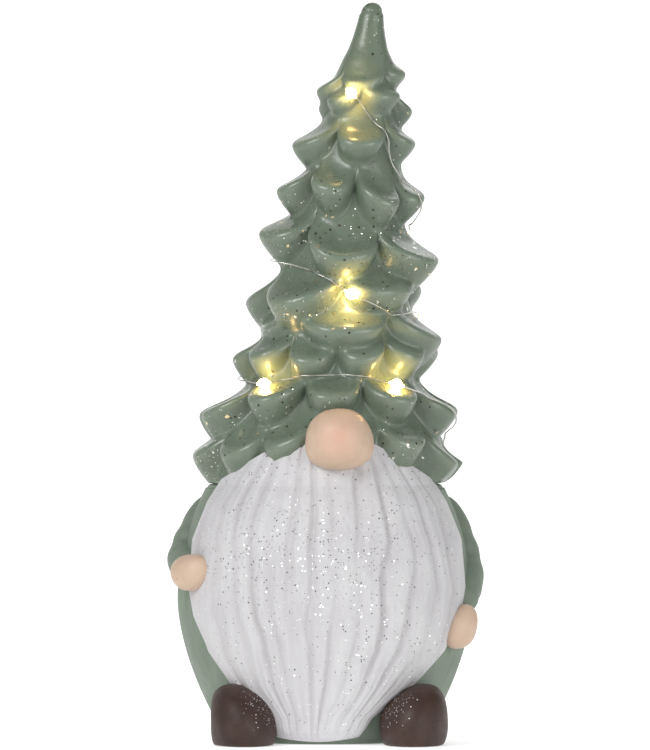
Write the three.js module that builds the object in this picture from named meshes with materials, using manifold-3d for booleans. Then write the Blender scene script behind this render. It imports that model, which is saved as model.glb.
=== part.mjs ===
// A tomte gnome figurine, about 300 mm tall, in painted and glazed earthenware.
// Its tall hat is a fir tree of drooping lobes wound with a string of light drops.
// The body is a hollow egg with a battery unit glued into its base.
// Millimetres, +Z up, the front faces -Y, and the origin is the centre of the base.
// An azimuth is measured round the figure from the front, positive towards +X.
import * as THREE from "three";
import { mergeVertices } from "three/addons/utils/BufferGeometryUtils.js";
import Module from "manifold-3d";

const wasm = await Module();
wasm.setup();

// ---------------------------------------------------------------- driving dimensions
const GAP = 0.3; // joint line between two pieces that touch
const FAR = 500; // longer than anything that a cut has to pass through

// Body
const BODY_HEIGHT = 104;
const BELLY_RADIUS = 60;
const BELLY_HEIGHT = 57;
const BASE_RADIUS = 40;
const SHOULDER_RADIUS = 47.8;
const DEPTH_RATIO = 0.9; // front-to-back size over width, for body and hat
const AXIS_Y = 2; // the body's axis stands behind the origin, because the beard stands out in front
const BODY_WALL = 5;
const BODY_FLOOR = 6;
const COLLAR_RADIUS = 36; // locating collar that the hat drops over
const COLLAR_HEIGHT = 6;
const COLLAR_CLEARANCE = 1;

// Hat
const HAT_HEIGHT = 195.7;
const HAT_FOOT_RADIUS = 46.5;
const HAT_LEAN = 19.4; // the tip leans this far to +X
const HAT_WALL = 5;
const HAT_TIP_RADIUS = 4.4;
const HAT_CAVITY_HEIGHT = 150; // the hollow ends here and the tip is solid

// Beard
const BEARD_THICKNESS = 4.6;
const BEARD_EDGE_THICKNESS = 1.6;
const BEARD_CHIN_THICKNESS = 7; // added at the foot, where the body draws back behind the beard
const BEARD_GROOVES = 13;
const BEARD_GROOVE_DEPTH = 1.1;
const BEARD_FOOT_HEIGHT = 1;
const BEARD_SINK = 8; // depth of the blank inside the body before it is cut to fit

// Nose, hands and shoes, as half sizes
const NOSE = { x: 5.7, z: 122.6, width: 14.2, depth: 12.6, height: 12.3, stand: 5 };
const SHOE = { width: 13.6, length: 20, height: 16.5, sole: 8, toe: 57, splay: 4.5 };
const SHOE_LEFT_X = -0.567 * BELLY_RADIUS; // the shoes stand closer together on a slimmer body
const SHOE_RIGHT_X = 0.618 * BELLY_RADIUS;
const HAND_LEFT = { azimuth: -58, z: 68.8, width: 9.4, depth: 6.5, height: 7.4, stand: 4 };
const HAND_RIGHT = { azimuth: 62, z: 47, width: 7.4, depth: 5.5, height: 9, stand: 3 };

// Sleeves: centre line as [azimuth, height, distance outside the body], then the two end radii
const SLEEVE_LEFT = {
  line: [
    [-101, 99, -4],
    [-94, 86, -4.2],
    [-84, 74, -2.2],
    [-64, 68.5, 0],
  ],
  shoulder: 7.5,
  cuff: 8.2,
};
const SLEEVE_RIGHT = {
  line: [
    [101, 99, -2.5],
    [96, 84, -3.4],
    [86, 68, -2.8],
    [68, 53.5, -1.2],
  ],
  shoulder: 7.5,
  cuff: 8.2,
};

// Cells, size AAA
const CELL_DIAMETER = 10.5;
const CELL_LENGTH = 43.7;
const CELL_NUB_LENGTH = 0.8;
const CELL_NUB_DIAMETER = 3.8;
const CELL_CLEARANCE = 0.5;

// Battery housing
const BASE_RECESS = 1.5; // the housing sits this far above the surface that the figure stands on
const PLASTIC_WALL = 1.6;
const HOUSING_FLANGE = 2;
const SPRING_ROOM = 4.6;
const PLATE_THICKNESS = 0.4;
const PLATE_ROOM = 1.4;
const BOARD_BAY_WIDTH = 8.4;
const DOOR_THICKNESS = 1.6;
const DOOR_OVERLAP = 1.2;
const FINGER_NOTCH_RADIUS = 4;

// Slide switch and circuit board
const SWITCH = { length: 11, width: 4.6, height: 4.4, ledge: 1 };
const KNOB = { length: 2.4, stem: 1.6, shoulder: 0.9, thickness: 1.4 };
const SWITCH_TRAVEL = 4; // on, off and timer, 2 mm apart
const KNOB_PROUD = 0.7;
const BOARD = { length: 26, width: 7.2, thickness: 1 };
const CHIP = { length: 5, width: 4, height: 1.5 };

// Contact springs
const SPRING_WIRE = 0.55;
const SPRING_BASE_RADIUS = 3.4;
const SPRING_TOP_RADIUS = 2.2;
const SPRING_TURNS = 3;

// Light string
const WIRE_RADIUS = 0.45;
const DROP_RADIUS = 2.1;
const DROP_LENGTH = 4.4;
const WIRE_STEPS = 100;
const LEAD_STEPS = 14;
const LAY_CLEARANCE = 1.3; // from the hat to the wire's centre line
const PLUG_RADIUS = 3;
const PLUG_HEAD_RADIUS = 4.2;
const PLUG_HEAD_THICKNESS = 1;
const EXIT_HEIGHT = 94;
const EXIT_AZIMUTH = 180;

// ---------------------------------------------------------------- small helpers
const degrees = (a) => (a * Math.PI) / 180;
const clamp = (v, low, high) => Math.min(Math.max(v, low), high);
const mix = (a, b, t) => a + (b - a) * t;

// Straight-line interpolation in a list of [position, value] pairs.
function along(table, at) {
  if (at <= table[0][0]) return table[0][1];
  for (let i = 1; i < table.length; i++) {
    const [p0, v0] = table[i - 1];
    const [p1, v1] = table[i];
    if (at <= p1) return mix(v0, v1, (at - p0) / (p1 - p0));
  }
  return table[table.length - 1][1];
}

// The larger of two values, with the corner between them rounded over a width k.
function smoothMax(a, b, k) {
  const h = Math.max(k - Math.abs(a - b), 0) / k;
  return Math.max(a, b) + (h * h * k) / 4;
}

// A closed three.js geometry as a solid.
function solid(geometry) {
  const bare = geometry.clone();
  bare.deleteAttribute("normal");
  bare.deleteAttribute("uv");
  const merged = mergeVertices(bare, 1e-4);
  return new wasm.Manifold(
    new wasm.Mesh({
      numProp: 3,
      vertProperties: merged.attributes.position.array,
      triVerts: new Uint32Array(merged.index.array),
    }),
  );
}

// A solid back as a three.js geometry.
function shell(made) {
  const mesh = made.getMesh();
  const geometry = new THREE.BufferGeometry();
  geometry.setAttribute("position", new THREE.BufferAttribute(mesh.vertProperties, 3));
  geometry.setIndex(new THREE.BufferAttribute(mesh.triVerts, 1));
  geometry.computeVertexNormals();
  return geometry;
}

// The largest body of a solid, without the crumbs that a cut leaves.
function largest(made) {
  return made.decompose().reduce((a, b) => (b.volume() > a.volume() ? b : a));
}

// Every vertex of a geometry moved by a function of its position.
function mapped(geometry, place) {
  const position = geometry.attributes.position;
  const point = new THREE.Vector3();
  for (let i = 0; i < position.count; i++) {
    point.fromBufferAttribute(position, i);
    const [x, y, z] = place(point, i);
    position.setXYZ(i, x, y, z);
  }
  return geometry;
}

// A profile of [radius, height] turned about the vertical, then placed by a function of
// azimuth, radius, height and the profile point's number.
function turned(profile, columns, place) {
  const points = profile.map(([r, z]) => new THREE.Vector2(r, z));
  const lathe = new THREE.LatheGeometry(points, columns);
  return mapped(lathe, (p, i) => {
    const row = i % profile.length;
    const column = Math.floor(i / profile.length) % columns;
    return place((column / columns) * 2 * Math.PI, profile[row][0], p.y, row);
  });
}

// A block between two corners.
function block([x0, y0, z0], [x1, y1, z1]) {
  const box = new THREE.BoxGeometry(x1 - x0, y1 - y0, z1 - z0);
  return solid(box.translate((x0 + x1) / 2, (y0 + y1) / 2, (z0 + z1) / 2));
}

// A round bar of given radius between two points.
function bar(from, to, radius, sides = 24) {
  const length = from.distanceTo(to);
  const cylinder = new THREE.CylinderGeometry(radius, radius, length, sides);
  const turn = new THREE.Quaternion().setFromUnitVectors(
    new THREE.Vector3(0, 1, 0),
    to.clone().sub(from).normalize(),
  );
  const middle = from.clone().lerp(to, 0.5);
  return solid(cylinder.applyQuaternion(turn).translate(middle.x, middle.y, middle.z));
}

// A tube of constant radius along a curve.
function tube(curve, radius, steps, sides = 8) {
  const section = [];
  for (let i = 0; i < sides; i++) {
    const a = (i / sides) * 2 * Math.PI;
    section.push(new THREE.Vector2(radius * Math.cos(a), radius * Math.sin(a)));
  }
  return new THREE.ExtrudeGeometry(new THREE.Shape(section), {
    steps,
    extrudePath: curve,
    bevelEnabled: false,
  });
}

// ---------------------------------------------------------------- body
// Half-width of the body at a height: one parabola above the belly, a fuller one below.
// Above the shoulder it goes on as the surface that the beard lies on under the hat.
const BODY_FOOT_FULLNESS = 1.7;
const NECK_TAPER = 0.12;
function bodyRadius(z) {
  if (z < BELLY_HEIGHT) {
    const t = (BELLY_HEIGHT - z) / BELLY_HEIGHT;
    return BASE_RADIUS + (BELLY_RADIUS - BASE_RADIUS) * (1 - t ** BODY_FOOT_FULLNESS);
  }
  if (z < BODY_HEIGHT) {
    const t = (z - BELLY_HEIGHT) / (BODY_HEIGHT - BELLY_HEIGHT);
    return SHOULDER_RADIUS + (BELLY_RADIUS - SHOULDER_RADIUS) * (1 - t * t);
  }
  return SHOULDER_RADIUS - NECK_TAPER * (z - BODY_HEIGHT);
}

// A point a distance outside the body's surface, at an azimuth and a height.
function onBody(azimuth, z, outside = 0) {
  const r = bodyRadius(z);
  const x = (r + outside) * Math.sin(azimuth);
  const y = AXIS_Y - (r * DEPTH_RATIO + outside) * Math.cos(azimuth);
  return new THREE.Vector3(x, y, z);
}

const BODY_COLUMNS = 40;
const BODY_ROWS = 11;
const NECK_BORE_RADIUS = COLLAR_RADIUS - BODY_WALL;

// The body's outside as a filled solid, larger all round by grow.
function bodyBlank(grow) {
  const profile = [[0, -grow]];
  for (let i = 0; i <= BODY_ROWS; i++) {
    const z = (i / BODY_ROWS) * BODY_HEIGHT;
    const level = i === 0 ? -grow : i === BODY_ROWS ? BODY_HEIGHT + grow : z;
    profile.push([bodyRadius(z) + grow, level]);
  }
  profile.push([0, BODY_HEIGHT + grow]);
  return solid(turned(profile, BODY_COLUMNS, ellipse));
}

// Places a turned profile about the body's axis, flattened from front to back.
function ellipse(azimuth, r, z) {
  return [r * Math.sin(azimuth), AXIS_Y - r * DEPTH_RATIO * Math.cos(azimuth), z];
}

// The hollow: a wall's thickness inside the body, drawn in to the neck's bore.
function bodyHollow() {
  const top = BODY_HEIGHT - BODY_WALL;
  const profile = [[0, BODY_FLOOR]];
  for (let i = 0; i <= BODY_ROWS; i++) {
    const z = mix(BODY_FLOOR, top, i / BODY_ROWS);
    profile.push([bodyRadius(z) - BODY_WALL, z]);
  }
  const bore = BODY_HEIGHT + COLLAR_HEIGHT + 1;
  profile.push([NECK_BORE_RADIUS, top], [NECK_BORE_RADIUS, bore], [0, bore]);
  return solid(turned(profile, BODY_COLUMNS, ellipse));
}

function collar() {
  const low = BODY_HEIGHT - BODY_WALL;
  const high = BODY_HEIGHT + COLLAR_HEIGHT;
  const profile = [
    [0, low],
    [COLLAR_RADIUS, low],
    [COLLAR_RADIUS, high],
    [0, high],
  ];
  return solid(turned(profile, BODY_COLUMNS, ellipse));
}

// ---------------------------------------------------------------- hat
// The trunk between the tiers, as [height above the hat's foot, radius].
const TRUNK = [
  [0, HAT_FOOT_RADIUS],
  [18, 45],
  [30, 38],
  [42, 32.5],
  [66, 28.5],
  [90, 24.5],
  [108, 20.8],
  [129, 18],
  [148, 14.3],
  [158, 12.6],
  [167, 11.2],
  [172, 9.8],
  [177, 7.8],
  [182, 6.5],
  [187, 5.5],
  [192, 4.7],
  [196, HAT_TIP_RADIUS],
];
const PATTERN_HEIGHT = 195.7; // the height of hat that the trunk and the tiers are drawn for

// Tiers of lobes from the tip down: heights of the lobes' lips above the hat's foot at the five
// stations, their reach from the hat's axis there, how many lobes go round, the first one's
// azimuth, and the height in which a lobe falls away above its lip.
const STATIONS = [-180, -90, -40, 0, 40, 90, 180];
const TIERS = [
  { lips: [160.5, 161, 162, 164, 167.5], reach: [18.8, 16.5, 15, 15.5, 16.3], count: 4, turn: 0, fall: 3.6 },
  { lips: [153, 155, 156, 157, 152.5], reach: [17.5, 18.5, 18, 18.5, 21.6], count: 5, turn: -36, fall: 3.4 },
  { lips: [138, 138, 138.5, 138.5, 138.5], reach: [28, 25.5, 24.5, 24.5, 23.2], count: 5, turn: 4, fall: 3.6 },
  { lips: [119.5, 120.5, 116.5, 112, 117], reach: [31.8, 30.5, 30, 31.5, 29.2], count: 7, turn: 27, fall: 5 },
  { lips: [102, 97, 92, 90.5, 90], reach: [37.2, 36, 35, 38, 40], count: 5, turn: -6, fall: 4.2 },
  { lips: [74.5, 73, 75, 78.5, 77], reach: [40.4, 39, 37, 37, 31.5], count: 5, turn: -36, fall: 5.4 },
  { lips: [62, 62, 62.5, 60, 57.5], reach: [32, 36, 38.5, 41, 43], count: 5, turn: 2, fall: 4.2 },
  { lips: [51.5, 51, 49.5, 52, 52.5], reach: [42.4, 41, 40, 40.5, 41.4], count: 10, turn: 18, fall: 4.6 },
  { lips: [28.5, 34, 35, 34, 29.5], reach: [56.2, 50.5, 46.8, 50, 53.8], count: 10, turn: 0, fall: 3.6 },
  { lips: [11.5, 12.5, 21, 15.5, 6.8], reach: [55, 52.5, 50.5, 53, 57], count: 12, turn: -20, fall: 3.6 },
];
const LOBE_SAG = 0.22; // how far a lobe's tip hangs below its sides, over its width
const LOBE_ARC = 0.95; // 1 would make the lip's outline a full half ellipse
const LOBE_SQUARENESS = 2.3; // the tongue's outline keeps its reach further out as this grows
const LOBE_FULLNESS = 0.85;
const BELL_SHARE = 0.65; // the rest of a lobe's reach runs out more slowly, as an exponential
const BELL_POWER = 1.5;
const LOBE_SWEEP = 0.15; // length of that slow run above a lip, over its reach
const LOBE_CREASE = 0.25; // added to it in the crease between two lobes
const LOBE_REST = 24; // a lobe's upper face has sunk into the trunk above this height
const TIP_UNEVENNESS = 0.8;
const REACH_UNEVENNESS = 0.012;
const LIP_ROUNDING = 3; // size of the lip's rounding, and its part over the reach
const LIP_ROUNDING_SHARE = 0.18;
const LIP_ROUNDING_LEAST = 0.01;
const LOBE_BLEND = 2.4;
const HAT_FOOT_FLARE = 3.2; // times the square root of the height above the foot
const LEAN_POWER = 1.05;
const HAT_FOOT_Z = BODY_HEIGHT + GAP;

// Sideways place of the hat's axis at a height.
function hatAxisX(z) {
  const t = clamp((z - HAT_FOOT_Z) / HAT_HEIGHT, 0, 1);
  return HAT_LEAN * t ** LEAN_POWER;
}

// Radius of the trunk, with a round tip.
function trunkRadius(height) {
  const fromTop = PATTERN_HEIGHT - height;
  const plain = along(TRUNK, height);
  if (fromTop >= HAT_TIP_RADIUS) return plain;
  const d = HAT_TIP_RADIUS - Math.max(fromTop, 0);
  return Math.min(plain, Math.sqrt(Math.max(HAT_TIP_RADIUS ** 2 - d * d, 0)));
}

// A tier's values at the five stations in front, joined round the hat by half cosine waves. The
// back's value is midway between the two sides'.
function blend(values, azimuth) {
  const back = (values[0] + values[values.length - 1]) / 2;
  const knots = [back, ...values, back];
  const turn = (((azimuth * 180) / Math.PI + 180) % 360 + 360) % 360 - 180;
  let i = 0;
  while (i < STATIONS.length - 2 && turn >= STATIONS[i + 1]) i++;
  const t = (turn - STATIONS[i]) / (STATIONS[i + 1] - STATIONS[i]);
  return mix(knots[i], knots[i + 1], (1 - Math.cos(Math.PI * t)) / 2);
}

// Radius of one tier at an azimuth and a height: a sweep from the trunk out to each lobe's
// tongue-shaped lip, a sloping underside back in, and a smooth minimum of the two at the lip.
function tierRadius(tier, number, azimuth, height, trunk) {
  const pitch = (2 * Math.PI) / tier.count;
  const turn = azimuth - degrees(tier.turn);
  const index = Math.round(turn / pitch);
  const lobe = ((index % tier.count) + tier.count) % tier.count;
  const across = Math.abs(2 * (turn / pitch - index));
  const reach = blend(tier.reach, azimuth);
  const tip = blend(tier.lips, azimuth);
  const arc = 1 - Math.sqrt(Math.max(1 - LOBE_ARC * across ** 2, 0));
  const unlevel = TIP_UNEVENNESS * Math.sin(2.7 * number + 4.1 * lobe);
  const above = height - tip - unlevel - LOBE_SAG * pitch * reach * arc;
  const uneven = 1 + REACH_UNEVENNESS * Math.sin(5.3 * number + 2.3 * lobe + 1);
  const petal = Math.max(1 - across ** LOBE_SQUARENESS, 0) ** LOBE_FULLNESS;
  const rounding = (LIP_ROUNDING + LIP_ROUNDING_SHARE * reach) * petal + LIP_ROUNDING_LEAST;
  const root = along(TRUNK, tip);
  const edge = root + (reach * uneven - root) * petal + rounding / 4;
  const rise = Math.max(above, 0);
  const bell = Math.exp(-((rise / tier.fall) ** BELL_POWER));
  const slow = Math.exp(-rise / (reach * (LOBE_SWEEP + LOBE_CREASE * across ** 2)));
  const sunk = LOBE_BLEND * Math.min(rise / LOBE_REST, 1);
  const over = trunk + (edge - trunk) * mix(slow, bell, BELL_SHARE) - sunk;
  const under = edge + above;
  return -smoothMax(-over, -under, rounding);
}

// Radius of the hat's outside at an azimuth and a height above the origin. The foot is rounded in.
function hatRadius(azimuth, z) {
  const height = ((z - HAT_FOOT_Z) / HAT_HEIGHT) * PATTERN_HEIGHT;
  const trunk = trunkRadius(height);
  const lobed = TIERS.reduce(
    (r, tier, number) => smoothMax(r, tierRadius(tier, number, azimuth, height, trunk), LOBE_BLEND),
    trunk,
  );
  return Math.min(lobed, HAT_FOOT_RADIUS + HAT_FOOT_FLARE * Math.sqrt(Math.max(height, 0)));
}

function onHat(azimuth, r, z) {
  const x = hatAxisX(z) + r * Math.sin(azimuth);
  return [x, AXIS_Y - r * DEPTH_RATIO * Math.cos(azimuth), z];
}

const HAT_COLUMNS = 56;
const HAT_ROWS = 42;
const ROW_CROWDING = 0.97;
const COLLAR_BORE_RADIUS = COLLAR_RADIUS + COLLAR_CLEARANCE;

// Heights of the rows of vertices, closest together near the tip.
function hatRows() {
  const rows = [];
  for (let i = 0; i <= HAT_ROWS; i++) {
    rows.push(HAT_FOOT_Z + HAT_HEIGHT * (i / HAT_ROWS) ** ROW_CROWDING);
  }
  return rows;
}

// The hat's outside as a filled solid, larger all round by grow.
function hatBlank(grow) {
  const rows = hatRows();
  const top = rows.length;
  const profile = [[0, rows[0] - grow]];
  rows.forEach((z, i) => profile.push([i === top - 1 ? 0 : 1, i === 0 ? z - grow : z]));
  const place = (azimuth, r, z) => {
    if (r === 0) return onHat(azimuth, 0, z);
    return onHat(azimuth, hatRadius(azimuth, Math.max(z, HAT_FOOT_Z)) + grow, z);
  };
  return solid(turned(profile, HAT_COLUMNS, place));
}

// The hollow: follows the trunk a wall's thickness inside it, and clears the body's collar.
function hatHollow() {
  const profile = [
    [0, HAT_FOOT_Z - 1],
    [COLLAR_BORE_RADIUS, HAT_FOOT_Z - 1],
    [COLLAR_BORE_RADIUS, HAT_FOOT_Z + COLLAR_HEIGHT + COLLAR_CLEARANCE],
  ];
  const scale = HAT_HEIGHT / PATTERN_HEIGHT;
  TRUNK.forEach(([height, radius]) => {
    const above = height * scale > COLLAR_HEIGHT + COLLAR_CLEARANCE + HAT_WALL;
    if (!above || height > HAT_CAVITY_HEIGHT) return;
    const r = Math.min(radius - HAT_WALL, COLLAR_BORE_RADIUS);
    profile.push([r, HAT_FOOT_Z + height * scale]);
  });
  profile.push([0, profile[profile.length - 1][1] + HAT_WALL]);
  return solid(turned(profile, HAT_COLUMNS, onHat));
}

// ---------------------------------------------------------------- beard
// Half-width of the beard, as [height, half-width], and how far its middle stands to +X.
const BEARD_WIDTHS = [
  [0, 15],
  [11, 21],
  [23.5, 36],
  [37, 47],
  [51, 53.4],
  [63, 55.6],
  [82, 54],
  [97, 48.2],
  [107, 42],
  [126, 30],
];
const BEARD_MIDDLE = [
  [0, -3.4],
  [40, 0.8],
  [120, 0.8],
];
const BEARD_TOP_HEIGHT = 125;
const BEARD_SIDE_HEIGHT = 106;
const BEARD_COLUMNS = BEARD_GROOVES * 2;
const BEARD_ROWS = 16;

// Place of a beard point: across runs -1 to 1 from edge to edge, up runs 0 to 1 from the foot
// to the top, and outside is the distance from the body's surface.
function beardPoint(across, up, front) {
  const top = mix(BEARD_TOP_HEIGHT, BEARD_SIDE_HEIGHT, Math.abs(across) ** 2.5);
  const z = mix(BEARD_FOOT_HEIGHT + 2 * across ** 2, top, up);
  const scale = BELLY_RADIUS / 60;
  const x = scale * (along(BEARD_MIDDLE, z) + across * along(BEARD_WIDTHS, z));
  const azimuth = Math.asin(clamp(x / bodyRadius(z), -1, 1));
  const crown = Math.sqrt(1 - 0.97 * across ** 4);
  const chin = BEARD_CHIN_THICKNESS * Math.max(1 - z / BELLY_HEIGHT, 0) ** 2;
  const phase = (across * 0.5 + 0.5) * BEARD_GROOVES;
  const groove = BEARD_GROOVE_DEPTH * Math.abs(Math.cos(Math.PI * phase)) ** 3;
  const thickness = BEARD_EDGE_THICKNESS + (BEARD_THICKNESS + chin - BEARD_EDGE_THICKNESS) * crown;
  return onBody(azimuth, z, front ? thickness - groove * crown : -BEARD_SINK);
}

function beardBlank(grow) {
  const sheet = new THREE.BoxGeometry(2, 1, 1, BEARD_COLUMNS, BEARD_ROWS, 1);
  const place = (p) => {
    const point = beardPoint(p.x, p.y + 0.5, p.z > 0);
    const out = new THREE.Vector3(point.x, point.y - AXIS_Y, 0).normalize();
    if (p.z > 0) point.addScaledVector(out, grow);
    return [point.x + grow * p.x, point.y, point.z + 2 * grow * p.y];
  };
  return solid(mapped(sheet, place));
}

// ---------------------------------------------------------------- nose, hands, sleeves, shoes
// An ellipsoid with its three half sizes, larger all round by grow.
function ball(centre, size, grow) {
  const sphere = new THREE.SphereGeometry(1, 18, 9);
  sphere.rotateX(Math.PI / 2);
  sphere.scale(size.width + grow, size.depth + grow, size.height + grow);
  return solid(sphere.translate(centre.x, centre.y, centre.z));
}

// A hand: an ellipsoid turned to lie flat against the body.
function handBlank(hand, grow) {
  const centre = onBody(degrees(hand.azimuth), hand.z, hand.stand);
  const sphere = new THREE.SphereGeometry(1, 16, 10);
  sphere.rotateX(Math.PI / 2);
  sphere.scale(hand.width + grow, hand.depth + grow, hand.height + grow);
  sphere.rotateZ(degrees(hand.azimuth * 0.6));
  return solid(sphere.translate(centre.x, centre.y, centre.z));
}

// A sleeve: a rounded limb along its centre line, thicker at the cuff.
function sleeveBlank(sleeve, grow) {
  const points = sleeve.line.map(([azimuth, z, outside]) => onBody(degrees(azimuth), z, outside));
  const line = new THREE.CatmullRomCurve3(points);
  const sphere = new THREE.SphereGeometry(1, 16, 14);
  const place = (p) => {
    const t = (1 - p.y) / 2;
    const centre = line.getPoint(t);
    const tangent = line.getTangent(t);
    const side = new THREE.Vector3(centre.x, centre.y - AXIS_Y, 0).normalize();
    const front = new THREE.Vector3().crossVectors(side, tangent).normalize();
    side.crossVectors(tangent, front);
    const fullness = Math.sqrt((1 + p.y * p.y) * 0.999 + 0.001);
    const r = (mix(sleeve.shoulder, sleeve.cuff, t) + grow) * fullness;
    centre.addScaledVector(side, p.x * r).addScaledVector(front, -p.z * r);
    const end = p.y > 0.999 ? 1 : p.y < -0.999 ? -1 : 0;
    return centre.addScaledVector(tangent, -grow * end).toArray();
  };
  return solid(mapped(sphere, place));
}

// A shoe: a round toe cap, its top splayed outwards, cut flat at the sole.
function shoeBlank(x, grow) {
  const sphere = new THREE.SphereGeometry(1, 20, 10);
  sphere.rotateX(Math.PI / 2);
  sphere.scale(SHOE.width + grow, SHOE.length + grow, SHOE.height + grow);
  const splay = Math.sign(x) * SHOE.splay;
  const place = (p) => [p.x + splay * (Math.max(p.z, 0) / SHOE.height) ** 2, p.y, p.z];
  const cap = mapped(sphere, place).translate(x, SHOE.length - SHOE.toe, SHOE.sole);
  const below = block([-FAR, -FAR, -FAR], [FAR, FAR, -grow]);
  return solid(cap).subtract(below);
}

// ---------------------------------------------------------------- battery unit
// Levels, from the underside up.
const UNDERSIDE = BASE_RECESS;
const DOOR_TOP = UNDERSIDE + DOOR_THICKNESS;
const CELL_RADIUS = CELL_DIAMETER / 2;
const CELL_Z = DOOR_TOP + CELL_CLEARANCE + CELL_RADIUS;
const BAY_TOP = CELL_Z + CELL_RADIUS + CELL_CLEARANCE;
const HOUSING_TOP = BAY_TOP + PLASTIC_WALL;
const FLANGE_TOP = DOOR_TOP + DOOR_OVERLAP;

// Plan, with the cells lying along X in front of the board's bay.
const BAY_LENGTH = PLATE_ROOM + CELL_NUB_LENGTH + CELL_LENGTH + SPRING_ROOM;
const BAY_WIDTH = 2 * CELL_DIAMETER + 3 * CELL_CLEARANCE;
const HOUSING_LENGTH = BAY_LENGTH + 2 * PLASTIC_WALL;
const HOUSING_WIDTH = BAY_WIDTH + BOARD_BAY_WIDTH + 3 * PLASTIC_WALL;
const HOUSING_X = HOUSING_LENGTH / 2;
const HOUSING_FRONT = AXIS_Y - HOUSING_WIDTH / 2;
const HOUSING_BACK = AXIS_Y + HOUSING_WIDTH / 2;
const BAY_X = BAY_LENGTH / 2;
const BAY_FRONT = HOUSING_FRONT + PLASTIC_WALL;
const BAY_BACK = BAY_FRONT + BAY_WIDTH;
const BOARD_BAY_FRONT = BAY_BACK + PLASTIC_WALL;
const BOARD_BAY_BACK = HOUSING_BACK - PLASTIC_WALL;
const BOARD_BAY_Y = (BOARD_BAY_FRONT + BOARD_BAY_BACK) / 2;
const CELL_Y = [BAY_FRONT + CELL_CLEARANCE + CELL_RADIUS, BAY_BACK - CELL_CLEARANCE - CELL_RADIUS];

// Door: closes the bay from below and swings down about a barrel along its front edge.
const DOOR_X = BAY_X + DOOR_OVERLAP;
const DOOR_BACK = BAY_BACK + DOOR_OVERLAP;
const BARREL_RADIUS = DOOR_THICKNESS / 2;
const BARREL_Y = BAY_FRONT + BARREL_RADIUS;
const BARREL_Z = UNDERSIDE + BARREL_RADIUS;

// Opening in the body's floor: a rebate for the flange below, and a hole for the housing above.
function floorOpening() {
  const f = HOUSING_FLANGE + GAP;
  const rebate = block(
    [-HOUSING_X - f, HOUSING_FRONT - f, -1],
    [HOUSING_X + f, HOUSING_BACK + f, FLANGE_TOP + GAP],
  );
  const hole = block(
    [-HOUSING_X - GAP, HOUSING_FRONT - GAP, 0],
    [HOUSING_X + GAP, HOUSING_BACK + GAP, BODY_FLOOR + 1],
  );
  return rebate.add(hole);
}

// Switch levels: the switch stands on the floor of the board's bay, under the board.
const BAY_FLOOR_TOP = DOOR_TOP;
const SWITCH_LOW = BAY_FLOOR_TOP + GAP;
const SWITCH_HIGH = SWITCH_LOW + SWITCH.height;
const KNOB_LOW = UNDERSIDE - KNOB_PROUD;
const KNOB_SHOULDER_LOW = SWITCH_LOW + SWITCH.ledge + GAP;
const KNOB_SHOULDER_HIGH = KNOB_SHOULDER_LOW + KNOB.thickness;
const BOARD_LOW = SWITCH_HIGH + GAP;
const BOARD_HIGH = BOARD_LOW + BOARD.thickness;
const SLOT_HALF = KNOB.stem / 2 + GAP;
const SLOT_LOW_X = -SWITCH_TRAVEL / 2 - KNOB.length / 2 - GAP;
const SLOT_HIGH_X = SWITCH_TRAVEL / 2 + KNOB.length / 2 + GAP;
const KNOB_X = -SWITCH_TRAVEL / 2; // at rest the switch is on

function batteryHousing() {
  const f = HOUSING_FLANGE;
  const box = block([-HOUSING_X, HOUSING_FRONT, UNDERSIDE], [HOUSING_X, HOUSING_BACK, HOUSING_TOP]);
  const flange = block(
    [-HOUSING_X - f, HOUSING_FRONT - f, UNDERSIDE],
    [HOUSING_X + f, HOUSING_BACK + f, FLANGE_TOP],
  );
  const bay = block([-BAY_X, BAY_FRONT, 0], [BAY_X, BAY_BACK, BAY_TOP]);
  const seat = block(
    [-DOOR_X - GAP, BAY_FRONT - GAP, 0],
    [DOOR_X + GAP, DOOR_BACK + GAP, DOOR_TOP + GAP],
  );
  const boardBay = block(
    [-BAY_X, BOARD_BAY_FRONT, BAY_FLOOR_TOP],
    [BAY_X, BOARD_BAY_BACK, HOUSING_TOP + 1],
  );
  const slot = block(
    [SLOT_LOW_X, BOARD_BAY_Y - SLOT_HALF, 0],
    [SLOT_HIGH_X, BOARD_BAY_Y + SLOT_HALF, BAY_FLOOR_TOP + 1],
  );
  const notch = bar(
    new THREE.Vector3(0, DOOR_BACK, 0),
    new THREE.Vector3(0, DOOR_BACK, DOOR_TOP),
    FINGER_NOTCH_RADIUS,
  );
  const trimmed = notch.subtract(
    block([-FAR, BOARD_BAY_FRONT + GAP, -FAR], [FAR, FAR, FAR]),
  );
  return box.add(flange).subtract(bay).subtract(seat).subtract(boardBay).subtract(slot)
    .subtract(trimmed);
}

function batteryDoor() {
  const panel = block([-DOOR_X, BARREL_Y, UNDERSIDE], [DOOR_X, DOOR_BACK, DOOR_TOP]);
  const barrel = bar(
    new THREE.Vector3(-DOOR_X, BARREL_Y, BARREL_Z),
    new THREE.Vector3(DOOR_X, BARREL_Y, BARREL_Z),
    BARREL_RADIUS,
  );
  return panel.add(barrel);
}

// A cell lying along X with its nub towards direction, -1 or 1.
const CELL_END = BAY_X - PLATE_ROOM; // the nub's end stands here, against its plate
function cell(y, direction) {
  const r = CELL_RADIUS;
  const nub = CELL_NUB_DIAMETER / 2;
  const profile = [
    [0, -CELL_LENGTH],
    [r - 0.4, -CELL_LENGTH],
    [r, 0.4 - CELL_LENGTH],
    [r, -0.4],
    [r - 0.4, 0],
    [nub, 0],
    [nub, CELL_NUB_LENGTH],
    [0, CELL_NUB_LENGTH],
  ].map(([radius, height]) => new THREE.Vector2(radius, height));
  const lathe = new THREE.LatheGeometry(profile, 24);
  lathe.rotateZ((-direction * Math.PI) / 2);
  return solid(lathe.translate(direction * (CELL_END - CELL_NUB_LENGTH), y, CELL_Z));
}

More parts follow.
